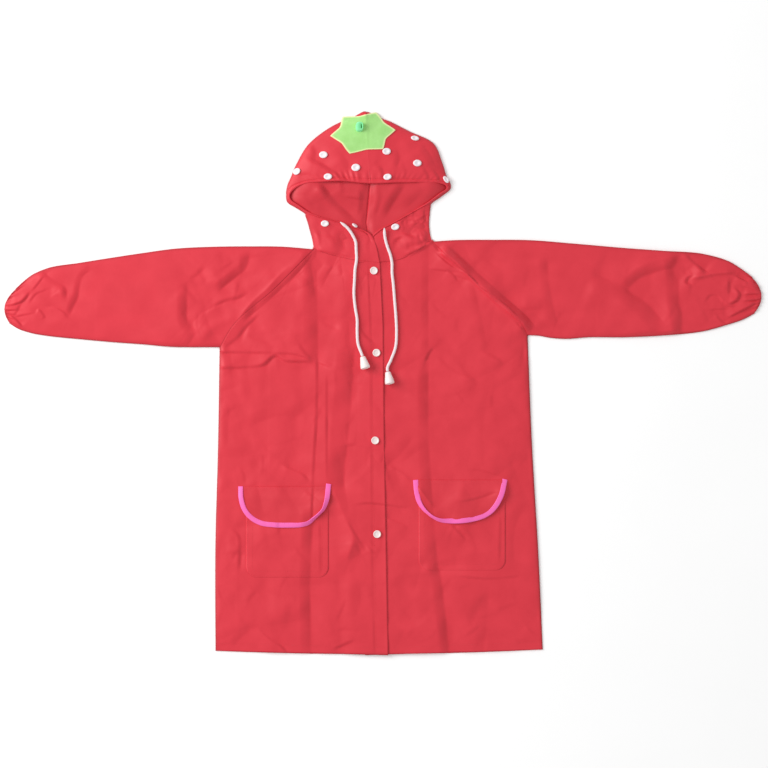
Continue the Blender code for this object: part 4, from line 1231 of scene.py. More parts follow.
def front_rows(side):
    """The stitch rows of a front: along its hem and its raglan seam, and down the button band."""
    seam_foot = np.array(SIDE_SEAM[side][0])
    centre = np.array([overlap_x(HEM_Y) + 0.004 * SIDES[side], HEM_Y])
    hem = np.linspace(seam_foot, centre, 140) + (0.0, HEM_DEPTH)
    raglan = curve_through(RAGLAN_SEAM[side], np.linspace(0.03, 0.97, 120))
    rows = [hem[3:], shifted(raglan, SIDES[side] * TOPSTITCH)]
    if side == "right":
        y = np.linspace(HEM_Y + HEM_DEPTH, 0.182, 300)
        rows.append(np.stack([overlap_x(y) - BAND_WIDTH, y], axis=1))
    return [laid_on(front_height, side, row) for row in rows]


for side in SIDES:
    grid = front_panel(side, rows=322, columns=132)
    # The edge attribute is painted shade along the outline and the hem.
    made = shell_piece(f"{side}_front_cloth", grid, [f"{side}_front"], edge=outline_shade_of(side, grid))
    sewn = stitches(f"{side}_front_stitches", front_rows(side))
    declare_cloth(grid, [sewn])

# %% [markdown]
# The back lies face down under everything. Its own creases can only rise from the table, so they are
# ridges. At the armholes and the neck its edge steps up and runs on inside the sleeve and the hood.

# %% The back
BACK_CREASES = [
    ([(-112, -450), (-108, -200), (-102, 60), (-104, 215)], 0.9, 9, 4, "ridge"),
    ([(104, -450), (84, -280), (72, -60), (72, 215)], 0.9, 4, 9, "ridge"),
    ([(-270, 20), (-120, 30), (60, 12), (250, 30)], 0.6, 6, 3, "ridge"),
    ([(-260, -190), (-60, -200), (120, -188), (260, -200)], 0.5, 3, 6, "ridge"),
    ([(-40, -380), (0, -260), (20, -120)], 0.4, 12, 12, "wave"),
    ([(-180, 120), (-150, 40), (-170, -60)], 0.4, 10, 12, "wave"),
    ([(180, -330), (150, -240), (170, -140)], 0.5, 10, 9, "wave"),
]
STEP_UP = 0.0007  # where the back runs on inside a sleeve or the hood


def back_height(x, y):
    """The back's middle surface: a layer on the table, with low ridges that fade at the outline."""
    return LOW_Z + np.maximum(crease_height(x, y, BACK_CREASES), 0)


def back_panel(rows, columns):
    """A grid between the two sides, from the hem up to the back of the neck."""
    right, low_rows = side_edge("right", rows)
    left = side_edge("left", rows)[0]
    across = np.linspace(0, 1, columns)[None, :, None]
    share = np.linspace(0, 1, rows)
    flat = drawn_to_neck(right[:, None] * (1 - across) + left[:, None] * across, share, BACK_NECK)
    hem_dip = 0.006 * 4 * across[0, :, 0] * (1 - across[0, :, 0])
    flat[..., 1] -= hem_dip * smooth_step(1 - share / 0.1)[:, None]
    z = back_height(flat[..., 0], flat[..., 1])
    z[low_rows:, [0, -1]] += STEP_UP
    z[-1] += STEP_UP
    return np.dstack([flat, z])


grid = back_panel(rows=110, columns=90)
made = shell_piece("back_cloth", grid, ["back_panel"])
declare_cloth(grid)

# %% [markdown]
# ## Sleeves
# A sleeve lies as a flattened tube. Each ring runs over the upper layer from the top fold to the
# underarm fold, round that fold, back underneath and round the top fold. The rings start on the
# raglan seam and end at the elastic, where the cloth is gathered into small pleats.

# %% The two sleeves
SLEEVE_FOLD = 0.0011  # how far the round fold stands out past the flat part
UNDER_CREASES = [
    ([(-470, 60), (-475, 120), (-460, 190)], 0.8, 5, 7, "ridge"),
    ([(-320, 50), (-310, 130), (-325, 215)], 0.6, 9, 8, "wave"),
    ([(-560, 100), (-530, 120), (-500, 160)], 0.7, 4, 4, "ridge"),
    ([(-230, 90), (-200, 140), (-180, 190)], 0.6, 8, 6, "wave"),
    ([(462, 70), (458, 130), (466, 205)], 0.8, 7, 5, "ridge"),
    ([(330, 60), (350, 130), (325, 218)], 0.6, 8, 9, "wave"),
    ([(560, 110), (530, 130), (500, 180)], 0.7, 4, 4, "ridge"),
    ([(215, 90), (180, 150), (165, 200)], 0.6, 7, 6, "wave"),
]


def sleeve_rings(side, rings, over, under):
    """Rings of a flattened tube. Places come from the sections, the height from the upper layer."""
    sections = SLEEVE_SECTIONS[side]
    row = curve_through([s + (0.02 * k,) for k, s in enumerate(sections)], np.linspace(0, 1, rings))
    number = row[:, 5] / 0.02
    top, below, bow = row[:, None, 0:2], row[:, None, 2:4], row[:, 4]
    across = (below - top) / np.linalg.norm(below - top, axis=2, keepdims=True)
    even = np.linspace(0, 1, over)
    close = 0.5 - 0.5 * np.cos(np.linspace(0, math.pi, over))  # points crowd at the folds
    share = close * 0.6 + 0.4 * even
    inner_top, inner_below = top + across * SLEEVE_FOLD, below - across * SLEEVE_FOLD
    upper = inner_top + share[None, :, None] * (inner_below - inner_top)
    upper[..., 0] += SIDES[side] * bow[:, None] * 4 * share * (1 - share)
    seam = curve_through(RAGLAN_SEAM[side][::-1], share)
    chord = seam[0] + share[:, None] * (seam[-1] - seam[0])
    hold = np.interp(number, range(len(SEAM_FADE)), SEAM_FADE)
    upper = upper + hold[:, None, None] * (seam - chord)
    z = upper_height(side, upper[..., 0], upper[..., 1])
    gather = smooth_step((number - (len(sections) - 2.6)) / 1.6)[:, None]
    pleat = np.cos(2 * math.pi * (7.3 * share + 0.35 * np.sin(9 * share)))[None]
    z = z + gather * (0.0007 * pleat - 0.0003)
    z = soft_floor(z, LOW_Z + LEAST_GAP)
    low_share = np.linspace(1, 0, under)
    lower = np.stack(
        [[np.interp(low_share, share, line[:, k]) for line in upper] for k in (0, 1)], axis=-1
    )
    low_z = LOW_Z + np.maximum(crease_height(lower[..., 0], lower[..., 1], UNDER_CREASES), 0)
    turns = np.array([0.3, 0.62, 0.86])  # share of the way down round a fold
    out = SLEEVE_FOLD * np.sin(math.pi * turns)[None, :, None]
    ease = (0.5 - 0.5 * np.cos(math.pi * turns))[None]
    at_below = inner_below + across * out + (upper[:, -1:] - inner_below)
    at_top = inner_top - across * out[:, ::-1] + (upper[:, :1] - inner_top)
    z_below = z[:, -1:] + (low_z[:, :1] - z[:, -1:]) * ease
    z_top = low_z[:, -1:] + (z[:, :1] - low_z[:, -1:]) * ease
    places = np.concatenate([upper, at_below, lower, at_top], axis=1)
    heights = np.concatenate([z, z_below, low_z, z_top], axis=1)
    return np.dstack([places, heights])


CUFF_ROW = -5  # ring of the sleeve where the elastic is sewn in
OVER_POINTS = 88

for side in SIDES:
    grid = sleeve_rings(side, rings=216, over=OVER_POINTS, under=24)
    nodes = [f"{side}_sleeve", f"{side}_cuff"]
    # The edge attribute is painted shade along the outline.
    made = shell_piece(f"{side}_sleeve_cloth", grid, nodes, loop=True, edge=outline_shade_of(side, grid))
    elastic_row = on_top(grid[CUFF_ROW, 2 : OVER_POINTS - 2])
    sewn = stitches(f"{side}_sleeve_stitches", [elastic_row])
    declare_cloth(grid, [sewn], loop=True)

# %% [markdown]
# ## Pockets
# Two patch pockets with round bottom corners are sewn on the skirt. A pocket is a grid laid on the
# front's own height, so it takes the creases under it, and it stands off a little inside its edge
# because cloth that is sewn round its border bags in the middle.

# %% Patch pockets
POCKETS = {  # middle x, top y, width, height, radius of the lower corners
    "right": (-0.148, -0.161, 0.128, 0.14, 0.016),
    "left": (0.1225, -0.153, 0.135, 0.137, 0.016),
}


def pocket_outline(side, inset=0.0):
    """The sewn edge of a pocket: down one side, round both corners and up the other."""
    middle, top, width, height, radius = POCKETS[side]
    half, bottom, radius = width / 2 - inset, top - height + inset, radius - inset
    turn = np.linspace(0, math.pi / 2, 9)
    corner_x = middle - half + radius * (1 - np.cos(turn))
    corner_y = bottom + radius * (1 - np.sin(turn))
    left = np.stack([corner_x, corner_y], axis=1)
    right = left[::-1] * (-1, 1) + (2 * middle, 0)
    return np.concatenate([[(middle - half, top)], left, right, [(middle + half, top)]])


def pocket_height(side, x, y):
    """The front's height, one layer, and a slight bagging inside the sewn edge."""
    inside = np.abs(beside(pocket_outline(side), x, y)[0])
    bag = 0.0002 * (1 - np.exp(-inside / 0.0022)) + 0.0008 * smooth_step(inside / 0.034)
    return front_height(side, x, y) + 0.6 * WALL + bag


def pocket_grid(side, rows, columns):
    """Rows from the top down. Each is as wide as the outline there, which rounds the corners."""
    middle, top, width, height, radius = POCKETS[side]
    straight = height - radius
    corner = height - radius * (1 - np.sin(np.linspace(0, math.pi / 2, 12)))
    depth = np.r_[np.linspace(0, straight, rows - 11)[:-1], corner]
    into = np.clip(depth - straight, 0, radius)
    half = width / 2 - radius + np.sqrt(radius**2 - into**2)
    x = middle + half[:, None] * np.linspace(-1, 1, columns)
    y = np.repeat((top - depth)[:, None], columns, axis=1)
    return np.dstack([x, y, pocket_height(side, x, y)])


STITCH_INSETS = (0.002, 0.0095)  # the two rows of stitches, from the pocket's edge

for side in SIDES:
    grid = pocket_grid(side, rows=64, columns=60)
    made = shell_piece(f"{side}_pocket_cloth", grid, [f"{side}_pocket"])
    rows = [evenly_spaced(pocket_outline(side, inset)) for inset in STITCH_INSETS]
    sewn = stitches(f"{side}_pocket_stitches", [laid_on(pocket_height, side, row) for row in rows])
    declare_cloth(grid, [sewn])

# %% [markdown]
# ## Flaps and their binding
# A flap hangs over each pocket, sewn along its straight top. Its round edge is bound in pink satin
# tape. The cloth is light, so the corners curl: the places below lift the flap off the pocket, and
# where a corner rolls down, the tape turns on edge and looks narrow from above.

# %% Edges, lifts and tape turns of the flaps
TAPE_WIDTH, TAPE_HALF_THICK = 0.008, 0.0009
FLAP_DARKENING = 0.09  # how much darker the flap's cloth is coloured all over
# The flap's outer edge, from the top on the left, round the bottom, to the top on the right.
FLAP_EDGE = {
    "right": [
        (-0.2205, -0.16), (-0.2195, -0.18), (-0.214, -0.1965), (-0.202, -0.21),
        (-0.188, -0.217), (-0.17, -0.2195), (-0.143, -0.22), (-0.127, -0.2195),
        (-0.1155, -0.2165), (-0.107, -0.2095), (-0.0985, -0.202), (-0.0925, -0.1955),
        (-0.0885, -0.186), (-0.084, -0.156),
    ],
    "left": [
        (0.0505, -0.15), (0.0525, -0.171), (0.056, -0.184), (0.062, -0.194),
        (0.07, -0.202), (0.079, -0.2085), (0.089, -0.2125), (0.1035, -0.2135),
        (0.123, -0.213), (0.142, -0.21), (0.157, -0.205), (0.1675, -0.198),
        (0.1755, -0.1885), (0.182, -0.176), (0.189, -0.149),
    ],
}
# Where a flap stands off its pocket: x, y, height, radius.
LIFTS = {
    "right": [
        (-0.0985, -0.202, 0.0034, 0.016),
        (-0.086, -0.176, 0.0024, 0.013),
        (-0.15, -0.223, 0.001, 0.03),
        (-0.213, -0.198, 0.0008, 0.018),
    ],
    "left": [
        (0.185, -0.172, 0.0028, 0.016),
        (0.174, -0.196, 0.0022, 0.016),
        (0.125, -0.214, 0.0021, 0.026),
        (0.08, -0.208, 0.0022, 0.013),
    ],
}
# How wide the tape looks, by share of the way along the edge: where a corner rolls it turns on edge.
TAPE_TURN = {
    "right": [
        (0.0, 0.95), (0.55, 1.0), (0.66, 0.85), (0.73, 0.55),
        (0.79, 0.42), (0.85, 0.85), (0.92, 1.0), (1.0, 1.0),
    ],
    "left": [
        (0.0, 1.0), (0.14, 1.0), (0.21, 0.72), (0.29, 0.42),
        (0.35, 0.62), (0.43, 1.0), (1.0, 1.0),
    ],
}
print("flap edges", {side: len(edge) for side, edge in FLAP_EDGE.items()})


# %% Flaps and bindings
def flap_height(side, x, y):
    """Over the pocket by one layer, sewn down at the top, and lifted where the edge curls."""
    down = FLAP_EDGE[side][0][1] - y
    free = smooth_step(down / 0.02)
    sewn_down = front_height(side, x, y) + WALL + 0.0001
    z = sewn_down + 0.0008 * smooth_step(down / 0.004) + 0.0011 * free
    z = z + 0.0012 * free * hump(down, 0.024, 0.022)
    for at_x, at_y, height, radius in LIFTS[side]:
        z = z + height * free * np.exp(-((x - at_x) ** 2 + (y - at_y) ** 2) / radius**2)
    return z


def flap_grid(side, rows, columns):
    """A fan of rows from the straight sewn top down to the middle of the tape."""
    line = curve_through(FLAP_EDGE[side], np.linspace(0, 1, columns))
    inward = shifted(line, 1.0) - line
    edge = line + inward * 0.0006
    edge[0, 1] = edge[-1, 1] = line[0, 1]
    along = 0.5 - 0.5 * np.cos(np.linspace(0, math.pi, columns))
    top_x = edge[0, 0] + (edge[-1, 0] - edge[0, 0]) * along
    top = np.stack([top_x, np.full(columns, line[0, 1])], axis=1)
    down = np.linspace(0, 1, rows)[:, None, None]
    flat = top + down * (edge - top)
    return np.dstack([flat, flap_height(side, flat[..., 0], flat[..., 1])])


def tape_rings(side, count, sides):
    """A flat oval carried along the flap's edge, turned on edge where the corner rolls down. Also
    the line it is carried along.
    """
    line = curve_through(FLAP_EDGE[side], np.linspace(0, 1, count))
    inward = shifted(line, 1.0) - line
    share = np.linspace(0, 1, count)
    turn = np.array(TAPE_TURN[side])
    flatness = np.interp(share, turn[:, 0], turn[:, 1])
    flatness = np.convolve(np.pad(flatness, 6, mode="edge"), np.ones(13) / 13, "valid")
    lean = np.sqrt(1 - np.minimum(flatness, 1) ** 2)
    centre = np.c_[line, flap_height(side, line[:, 0], line[:, 1]) + 0.0004 * lean]
    across = np.c_[inward * flatness[:, None], lean * 0.8]
    out = np.c_[inward * -lean[:, None], flatness]
    angle = np.linspace(0, 2 * math.pi, sides, endpoint=False)
    wide = TAPE_WIDTH / 2 * np.cos(angle)
    thick = TAPE_HALF_THICK * np.sign(np.sin(angle)) * np.abs(np.sin(angle)) ** 0.6
    sideways, outwards = wide[:, None] * across[:, None], thick[:, None] * out[:, None]
    return centre[:, None] + sideways + outwards, centre


for side in SIDES:
    grid = flap_grid(side, rows=44, columns=110)
    # The flap's cloth is tinted a little darker all over through its edge attribute.
    flap_darker = np.full(grid.shape[:2], FLAP_DARKENING)
    made = shell_piece(f"{side}_flap_cloth", grid, [f"{side}_pocket_flap"], edge=flap_darker)
    rings, line = tape_rings(side, count=150, sides=16)
    name, nodes = f"{side}_flap_tape", [f"{side}_flap_binding"]
    around = np.linspace(0, 1, rings.shape[1])
    tape = tube_piece(name, rings, line, around, tape_pink, nodes)
    top = np.linspace(grid[0, 2, :2], grid[0, -3, :2], 90) - (0.0, 0.0025)
    sewn = stitches(f"{side}_flap_stitches", [laid_on(flap_height, side, top)])
    bound = stitches(f"{side}_tape_stitches", [rings[2:-2, 2]], thread_pink)
    declare_cloth(grid, [tape, sewn, bound])
    print(f"{side} flap tape {length_of(line):.3f} m")

# %% [markdown]
# ## Hood
# The hood is two halves sewn together down the middle. It lies on its back with its mouth open: from
# the mouth's edge the cloth runs over the crown or the cheek, turns under at the outline, and comes
# back along the table to the centre seam, which shows inside. Each row of the grid is one such path,
# between sections that give its edge, its turn and its end. Both halves meet in one row over the
# crown, where the seam lies flat, so they make one piece.

# %% Sections, seam and creases of the hood
HOOD_FOLD_Z = 0.0015
HOOD_LOW = 0.0055
HOOD_SAG = 0.36  # what a section gives above HOOD_LOW sinks to this share of it
HOOD_SEAM = [(-0.019, 0.2), (-0.026, 0.248), (-0.02, 0.308), (-0.0275, 0.425)]
# Mouth edge x, y, z, turn x, y, and the y where the row ends on the centre seam.
HOOD_SECTIONS = {
    "left": [
        (-0.036, 0.188, 0.0022, 0.0745, 0.22, 0.203),
        (-0.031, 0.212, 0.0028, 0.0725, 0.232, 0.212),
        (-0.012, 0.233, 0.0036, 0.0712, 0.245, 0.221),
        (0.02, 0.251, 0.0044, 0.0722, 0.262, 0.23),
        (0.048, 0.267, 0.0048, 0.0735, 0.272, 0.241),
        (0.0715, 0.2815, 0.005, 0.0755, 0.2785, 0.254),
        (0.087, 0.2935, 0.0052, 0.091, 0.2895, 0.268),
        (0.0985, 0.3015, 0.006, 0.1045, 0.301, 0.281),
        (0.096, 0.3065, 0.009, 0.1045, 0.3085, 0.292),
        (0.085, 0.3095, 0.015, 0.099, 0.319, 0.302),
        (0.062, 0.31, 0.024, 0.0916, 0.3416, 0.32),
        (0.038, 0.31, 0.031, 0.0784, 0.3708, 0.34),
        (0.016, 0.3095, 0.035, 0.0402, 0.3902, 0.36),
        (-0.004, 0.3085, 0.037, 0.005, 0.408, 0.38),
        (-0.0204, 0.308, 0.038, -0.024, 0.421, 0.402),
    ],
    "right": [
        (-0.006, 0.187, 0.004, -0.1062, 0.2085, 0.203),
        (-0.01, 0.211, 0.0048, -0.11, 0.225, 0.211),
        (-0.0185, 0.23, 0.0058, -0.1135, 0.237, 0.219),
        (-0.042, 0.241, 0.006, -0.1155, 0.245, 0.227),
        (-0.067, 0.25, 0.006, -0.118, 0.253, 0.236),
        (-0.093, 0.256, 0.0058, -0.12, 0.2585, 0.246),
        (-0.115, 0.265, 0.0054, -0.1215, 0.263, 0.257),
        (-0.13, 0.275, 0.0052, -0.134, 0.271, 0.266),
        (-0.1425, 0.284, 0.0052, -0.1485, 0.281, 0.275),
        (-0.144, 0.292, 0.007, -0.15, 0.293, 0.285),
        (-0.135, 0.302, 0.013, -0.148, 0.306, 0.297),
        (-0.118, 0.309, 0.021, -0.1425, 0.319, 0.311),
        (-0.095, 0.311, 0.028, -0.1335, 0.34, 0.326),
        (-0.07, 0.312, 0.033, -0.115, 0.37, 0.343),
        (-0.05, 0.311, 0.036, -0.08, 0.397, 0.362),
        (-0.034, 0.309, 0.0375, -0.05, 0.411, 0.382),
        (-0.021, 0.308, 0.038, -0.031, 0.421, 0.402),
    ],
}
HOOD_CREASES = [
    # Cheeks and neck.
    *seeded_creases(41, 40, (26, 196), (80, 270), 24, 0.6),
    ([(28, 237), (38, 231), (52, 222)], 2.8, 5, 12),
    ([(28, 208), (44, 213), (58, 217), (76, 227)], 2.2, 3.4, 9),
    ([(36, 196), (50, 203), (70, 213)], 2.6, 4, 10),
    ([(44, 263), (58, 257), (74, 247)], 1.8, 3, 9),
    ([(46, 245), (58, 246), (72, 239)], 1.6, 3, 9),
    ([(30, 226), (20, 220), (16, 208)], 1.8, 4, 12),
    ([(60, 236), (64, 226), (72, 222)], 1.6, 3, 9),
    ([(-100, 240), (-96, 222), (-98, 208)], 1.6, 8, 18),
    ([(-60, 240), (-64, 222), (-56, 204)], 2.4, 14, 22),
    ([(-88, 236), (-76, 224), (-72, 208)], 1.2, 8, 18),
    ([(-20, 226), (-22, 210), (-18, 196)], 1.0, 4, 10),
    # Crown.
    ([(-122, 352), (-97, 341), (-77, 329), (-48, 312)], 2.8, 7, 22),
    ([(-14, 338), (-4, 334), (0, 326), (-1, 314)], 1.9, 4, 10),
    ([(60, 372), (74, 352), (84, 330)], 2.2, 12, 22),
    ([(30, 342), (36, 328), (36, 313)], 1.4, 5, 12),
    ([(62, 334), (70, 322), (72, 311)], 1.6, 4, 10),
    ([(78, 330), (86, 320), (88, 311)], 1.4, 4, 10),
    ([(-132, 320), (-118, 322), (-100, 316)], 1.4, 6, 14),
    ([(-66, 356), (-54, 342), (-54, 322)], 1.5, 10, 20),
    ([(20, 364), (26, 348), (20, 330)], 1.4, 9, 20),
    ([(-110, 372), (-104, 356), (-108, 340)], 1.2, 8, 18),
]
HOOD_INSIDE = [
    ([(-100, 312), (-91, 303), (-77, 286), (-52, 262), (-32, 242), (-24, 234)], 3.4, 11, 20),
    ([(-96, 309), (-88, 300), (-82, 290)], 2.2, 10, 12),
    ([(-63, 312), (-62, 302), (-63, 292)], 1.6, 3, 8),
    ([(-62, 288), (-45, 285), (-27, 282)], 1.6, 4, 10),
    ([(36, 310), (26, 294), (14, 276), (2, 252)], 3.6, 12, 18),
    ([(-140, 292), (-110, 288), (-84, 270)], 1.3, 10, 20),
    ([(66, 302), (52, 286), (34, 268)], 1.4, 12, 18),
    ([(-6, 308), (-3, 290), (-10, 258)], 1.4, 8, 14),
    ([(-34, 302), (-32, 284), (-36, 258)], 2.1, 5, 10),
    ([(-120, 300), (-116, 286), (-104, 272)], 1.1, 8, 16),
]


def hood_seam_x(y):
    """Where the centre seam is at a given y."""
    seam = np.array(HOOD_SEAM)
    return np.interp(y, seam[:, 1], seam[:, 0])


print(len(HOOD_CREASES) + len(HOOD_INSIDE), "creases on the hood")


# %% The hood's cloth
SECTION_STEP = 0.012  # gives the section's number along the curve through the sections
INSIDE_SHADE = 0.18  # how much painted shade darkens the inside of the hood


def with_casing(z, row, number, from_edge, long, inner):
    """The drawcord's casing: a bead along the edge, a stitched groove, and small gathers beyond."""
    casing = smooth_step((number - 1.0) / 1.2)
    bead = np.minimum(0.0026, long / 4)
    bulge = np.sqrt(np.maximum(1 - ((from_edge - bead) / bead) ** 2, 0))
    z = z + casing * (0.0012 * bulge - 0.0006 * hump(from_edge, 2.5 * bead, 0.0014))
    way = row[:, 0:1] + 0.6 * row[:, 1:2]
    bunched = 0.35 + 0.95 * hump(row[:, 0:1], -0.048, 0.034)
    gathers = bunched * np.sin(2 * math.pi * way / 0.0078 + 1.7 * np.sin(way / 0.011))
    return z + casing * 0.0006 * gathers * hump(from_edge, 0.01, 0.0065) * inner


def hood_upper_z(side, x, y, row, number, share, long):
    """The side that shows: a quarter of an ellipse from the mouth's edge down to the turn, over the
    body where it lies on it, with its creases and its casing.
    """
    brim_z = row[:, 2:3]
    brim_z = np.minimum(brim_z, HOOD_LOW) + HOOD_SAG * np.maximum(brim_z - HOOD_LOW, 0)
    z = HOOD_FOLD_Z + (brim_z - HOOD_FOLD_Z) * np.sqrt(1 - share**2)
    on_body = front_height(side, x, y) + WALL + CLEAR
    near_body = (1 - smooth_step((number - 0.4) / 2.4)) * smooth_step((1 - share) / 0.12)
    z = np.maximum(z, HOOD_FOLD_Z + (on_body - HOOD_FOLD_Z) * near_body)
    inner = smooth_step((1 - share) / 0.1)
    z = z + inner * (crease_height(x, y, HOOD_CREASES) + 0.01 * puffs(x, y, 31, 24, 0.018, 0.06))
    return with_casing(z, row, number, share * long, long, inner)


def hood_lower(side, fold, end_y, under):
    """Underneath: round the turn and back to the seam, with the folds that show in the mouth."""
    seam = np.concatenate([hood_seam_x(end_y), end_y], axis=1)[:, None]
    share = np.linspace(0, 1, under)[1:]
    lower = fold + share[None, :, None] * (seam - fold)
    back = curve_through(BACK_NECK, np.linspace(0, 1, 60))
    neck_y = np.interp(lower[..., 0], back[:, 0], back[:, 1])
    lower[..., 1] = np.maximum(lower[..., 1], neck_y)
    x, y = lower[..., 0], lower[..., 1]
    above_neck = smooth_step((y - 0.205) / 0.02)
    room = smooth_step(share / 0.16) * smooth_step((1 - share) / 0.1) * above_neck
    folds = 0.003 + crease_height(x, y, HOOD_INSIDE) + 0.008 * puffs(x, y, 37, 20, 0.02, 0.06)
    # Under the crown the cloth swells up towards the brim, which keeps the shadow there narrow.
    crown = smooth_step((y - 0.264) / 0.042) * smooth_step((0.345 - y) / 0.035)
    swell = crown * smooth_step(share / 0.28)
    z = soft_floor(LOW_Z + room * folds + 0.0088 * swell, LOW_Z)
    # The turning of the centre seam lies to the left of it, as a low welt.
    welt = (0.0011 if side == "left" else 0.0) * smooth_step((0.3 - y) / 0.012)
    welt = welt * smooth_step((y - 0.245) / 0.015)
    from_seam = np.abs(x - hood_seam_x(y))
    z = z + welt * room.max(axis=1, keepdims=True) * hump(from_seam, 0.0036, 0.0024)
    return lower, z


def hood_half(side, rows, over, under):
    """A half of the hood: rows from the neck to the crown, columns from the mouth's edge round to
    the seam. Also its upper side alone, and the painted shade at each point: near the turn and inside.
    """
    sections = HOOD_SECTIONS[side]
    knots = [section + (SECTION_STEP * k,) for k, section in enumerate(sections)]
    row = curve_through(knots, np.linspace(0, 1, rows))
    number = row[:, 6:7] / SECTION_STEP
    brim, fold = row[:, None, 0:2], row[:, None, 3:5]
    share = np.sin(np.linspace(0, math.pi / 2, over))
    share = np.unique(np.r_[np.linspace(0, 0.1, 9), share])
    long = np.linalg.norm(fold - brim, axis=2)
    upper = brim + share[None, :, None] * (fold - brim)
    at_neck = 1 - smooth_step(number[:, :, None] / 1.1)
    neck = curve_through(NECK_SEAM[side][::-1], share)
    upper = upper * (1 - at_neck) + at_neck * neck
    upper[:, -1:] = fold
    at_seam = smooth_step((number - (len(sections) - 2.2)) / 1.2)
    upper[..., 0] += at_seam * (hood_seam_x(upper[..., 1]) - upper[..., 0])
    z = hood_upper_z(side, upper[..., 0], upper[..., 1], row, number, share, long)
    lower, low_z = hood_lower(side, fold, row[:, 5:6], under)
    # The hem of the casing turns in under the edge.
    hem_share = np.minimum(np.array([0.005, 0.0028, 0.001]) / long, 0.6)
    hem = brim + hem_share[..., None] * (fold - brim)
    hem = hem * (1 - at_neck) + at_neck * neck[:1]
    hem_z = z[:, :1] - np.array([0.0012, 0.0015, 0.001])
    places = np.concatenate([hem, upper, lower], axis=1)
    heights = np.concatenate([hem_z, z, low_z], axis=1)
    # Painted shade: darker near the turn at the outline, and over all of the inside of the hood.
    painted_shade = np.exp(-np.linalg.norm(places - fold, axis=2) / OUTLINE_SHADE_BAND)
    painted_shade[:, -lower.shape[1] :] = np.maximum(painted_shade[:, -lower.shape[1] :], INSIDE_SHADE)
    return np.dstack([places, heights]), np.dstack([upper, z]), painted_shade


halves = {side: hood_half(side, rows=158, over=50, under=40) for side in SIDES}
grid, painted_shade = (np.concatenate([halves["right"][k], halves["left"][k][-2::-1]]) for k in (0, 2))
made = shell_piece("hood_cloth", grid, ["hood_right", "hood_left"], edge=painted_shade)

# %% Stitches of the hood
def casing_rows(side, from_edge=0.0088, narrowest=0.018):
    """The casing's stitches: in each row the point this far from the edge, where there is room."""
    upper = halves[side][1]
    way = np.cumsum(np.linalg.norm(np.diff(upper, axis=1), axis=2), axis=1)
    after = np.argmax(way > from_edge, axis=1)
    row = np.arange(len(way))
    before = np.where(after > 0, way[row, after - 1], 0.0)
    share = (from_edge - before) / (way[row, after] - before)
    line = upper[row, after] * (1 - share[:, None]) + upper[row, after + 1] * share[:, None]
    wide = np.flatnonzero((way[:, -1] > narrowest) & (row > 16))
    return [on_top(line[run]) for run in np.split(wide, np.flatnonzero(np.diff(wide) > 1) + 1)]


def neck_row(side):
    """A row just above the neck seam, on the hood."""
    upper = halves[side][1]
    line = 0.5 * (upper[2] + upper[3])
    return on_top(line[4:-6])


rows = [row for side in SIDES for row in [*casing_rows(side), neck_row(side)]]
declare_cloth(grid, [stitches("hood_stitches", rows)])

# %% [markdown]
# The trims on the hood need its height at any place. A map of the highest cloth over a grid of
# millimetre cells answers that: every point of the finer surface is dropped into its cell, and the
# height and slope between cells are read off with weights.

# %% Height and slope of the hood
MAP_LOW, MAP_STEP, MAP_CELLS = np.array([-0.17, 0.18]), 0.001, (290, 260)


def finer(grid, times):
    """The same surface with more rows and columns, straight between the old ones."""
    for axis in (0, 1):
        count = grid.shape[axis]
        at = np.linspace(0, count - 1, times * (count - 1) + 1)
        low = np.minimum(at.astype(int), count - 2)
        share = (at - low).reshape((-1, 1, 1) if axis == 0 else (1, -1, 1))
        grid = np.take(grid, low, axis) * (1 - share) + np.take(grid, low + 1, axis) * share
    return grid


def neighbours(cells):
    """Every cell with the eight around it, as nine shifted maps."""
    padded = np.pad(cells, 1, mode="edge")
    tall, wide = cells.shape
    return np.array([padded[i : i + tall, j : j + wide] for i in range(3) for j in range(3)])


def highest_cloth():
    """The map. Empty cells take the highest of their neighbours, and all of it is softened a little."""
    cells = np.zeros(MAP_CELLS)
    for side in SIDES:
        close = finer(halves[side][1], 5).reshape(-1, 3)
        cell = np.floor((close[:, :2] - MAP_LOW) / MAP_STEP).astype(int)
        inside = (cell >= 0).all(axis=1) & (cell < MAP_CELLS).all(axis=1)
        np.maximum.at(cells, tuple(cell[inside].T), close[inside, 2])
    filled = np.where(cells > 0, cells, neighbours(cells).max(axis=0))
    around = neighbours(filled)
    return np.where(around.min(axis=0) > 0, around.mean(axis=0), filled)


HOOD_MAP = highest_cloth()


def hood_z(x, y):
    """Height of the hood's cloth at each place, weighted between the four nearest cells."""
    place = (np.stack([x, y], axis=-1) - MAP_LOW) / MAP_STEP - 0.5
    cell = np.clip(np.floor(place).astype(int), 0, np.array(MAP_CELLS) - 2)
    share = np.clip(place - cell, 0, 1)
    i, j = cell[..., 0], cell[..., 1]
    u, v = share[..., 0], share[..., 1]
    low = HOOD_MAP[i, j] * (1 - u) + HOOD_MAP[i + 1, j] * u
    high = HOOD_MAP[i, j + 1] * (1 - u) + HOOD_MAP[i + 1, j + 1] * u
    return low * (1 - v) + high * v


def hood_seat(x, y, reach=0.004, steepest=1.5):
    """Where a small trim sits on the hood, and the direction that points away from the cloth there."""
    slope = np.array(
        [
            (hood_z(x + reach, y) - hood_z(x - reach, y)) / (2 * reach),
            (hood_z(x, y + reach) - hood_z(x, y - reach)) / (2 * reach),
        ]
    )
    slope *= min(1.0, steepest / max(np.linalg.norm(slope), 1e-9))
    up = np.array([-slope[0], -slope[1], 1.0])
    up /= np.linalg.norm(up)
    return np.array([x, y, float(hood_z(x, y))]) + up * WALL / 2, up


print(f"hood height in the middle of the crown {hood_z(-0.03, 0.35) * 1000:.1f} mm")

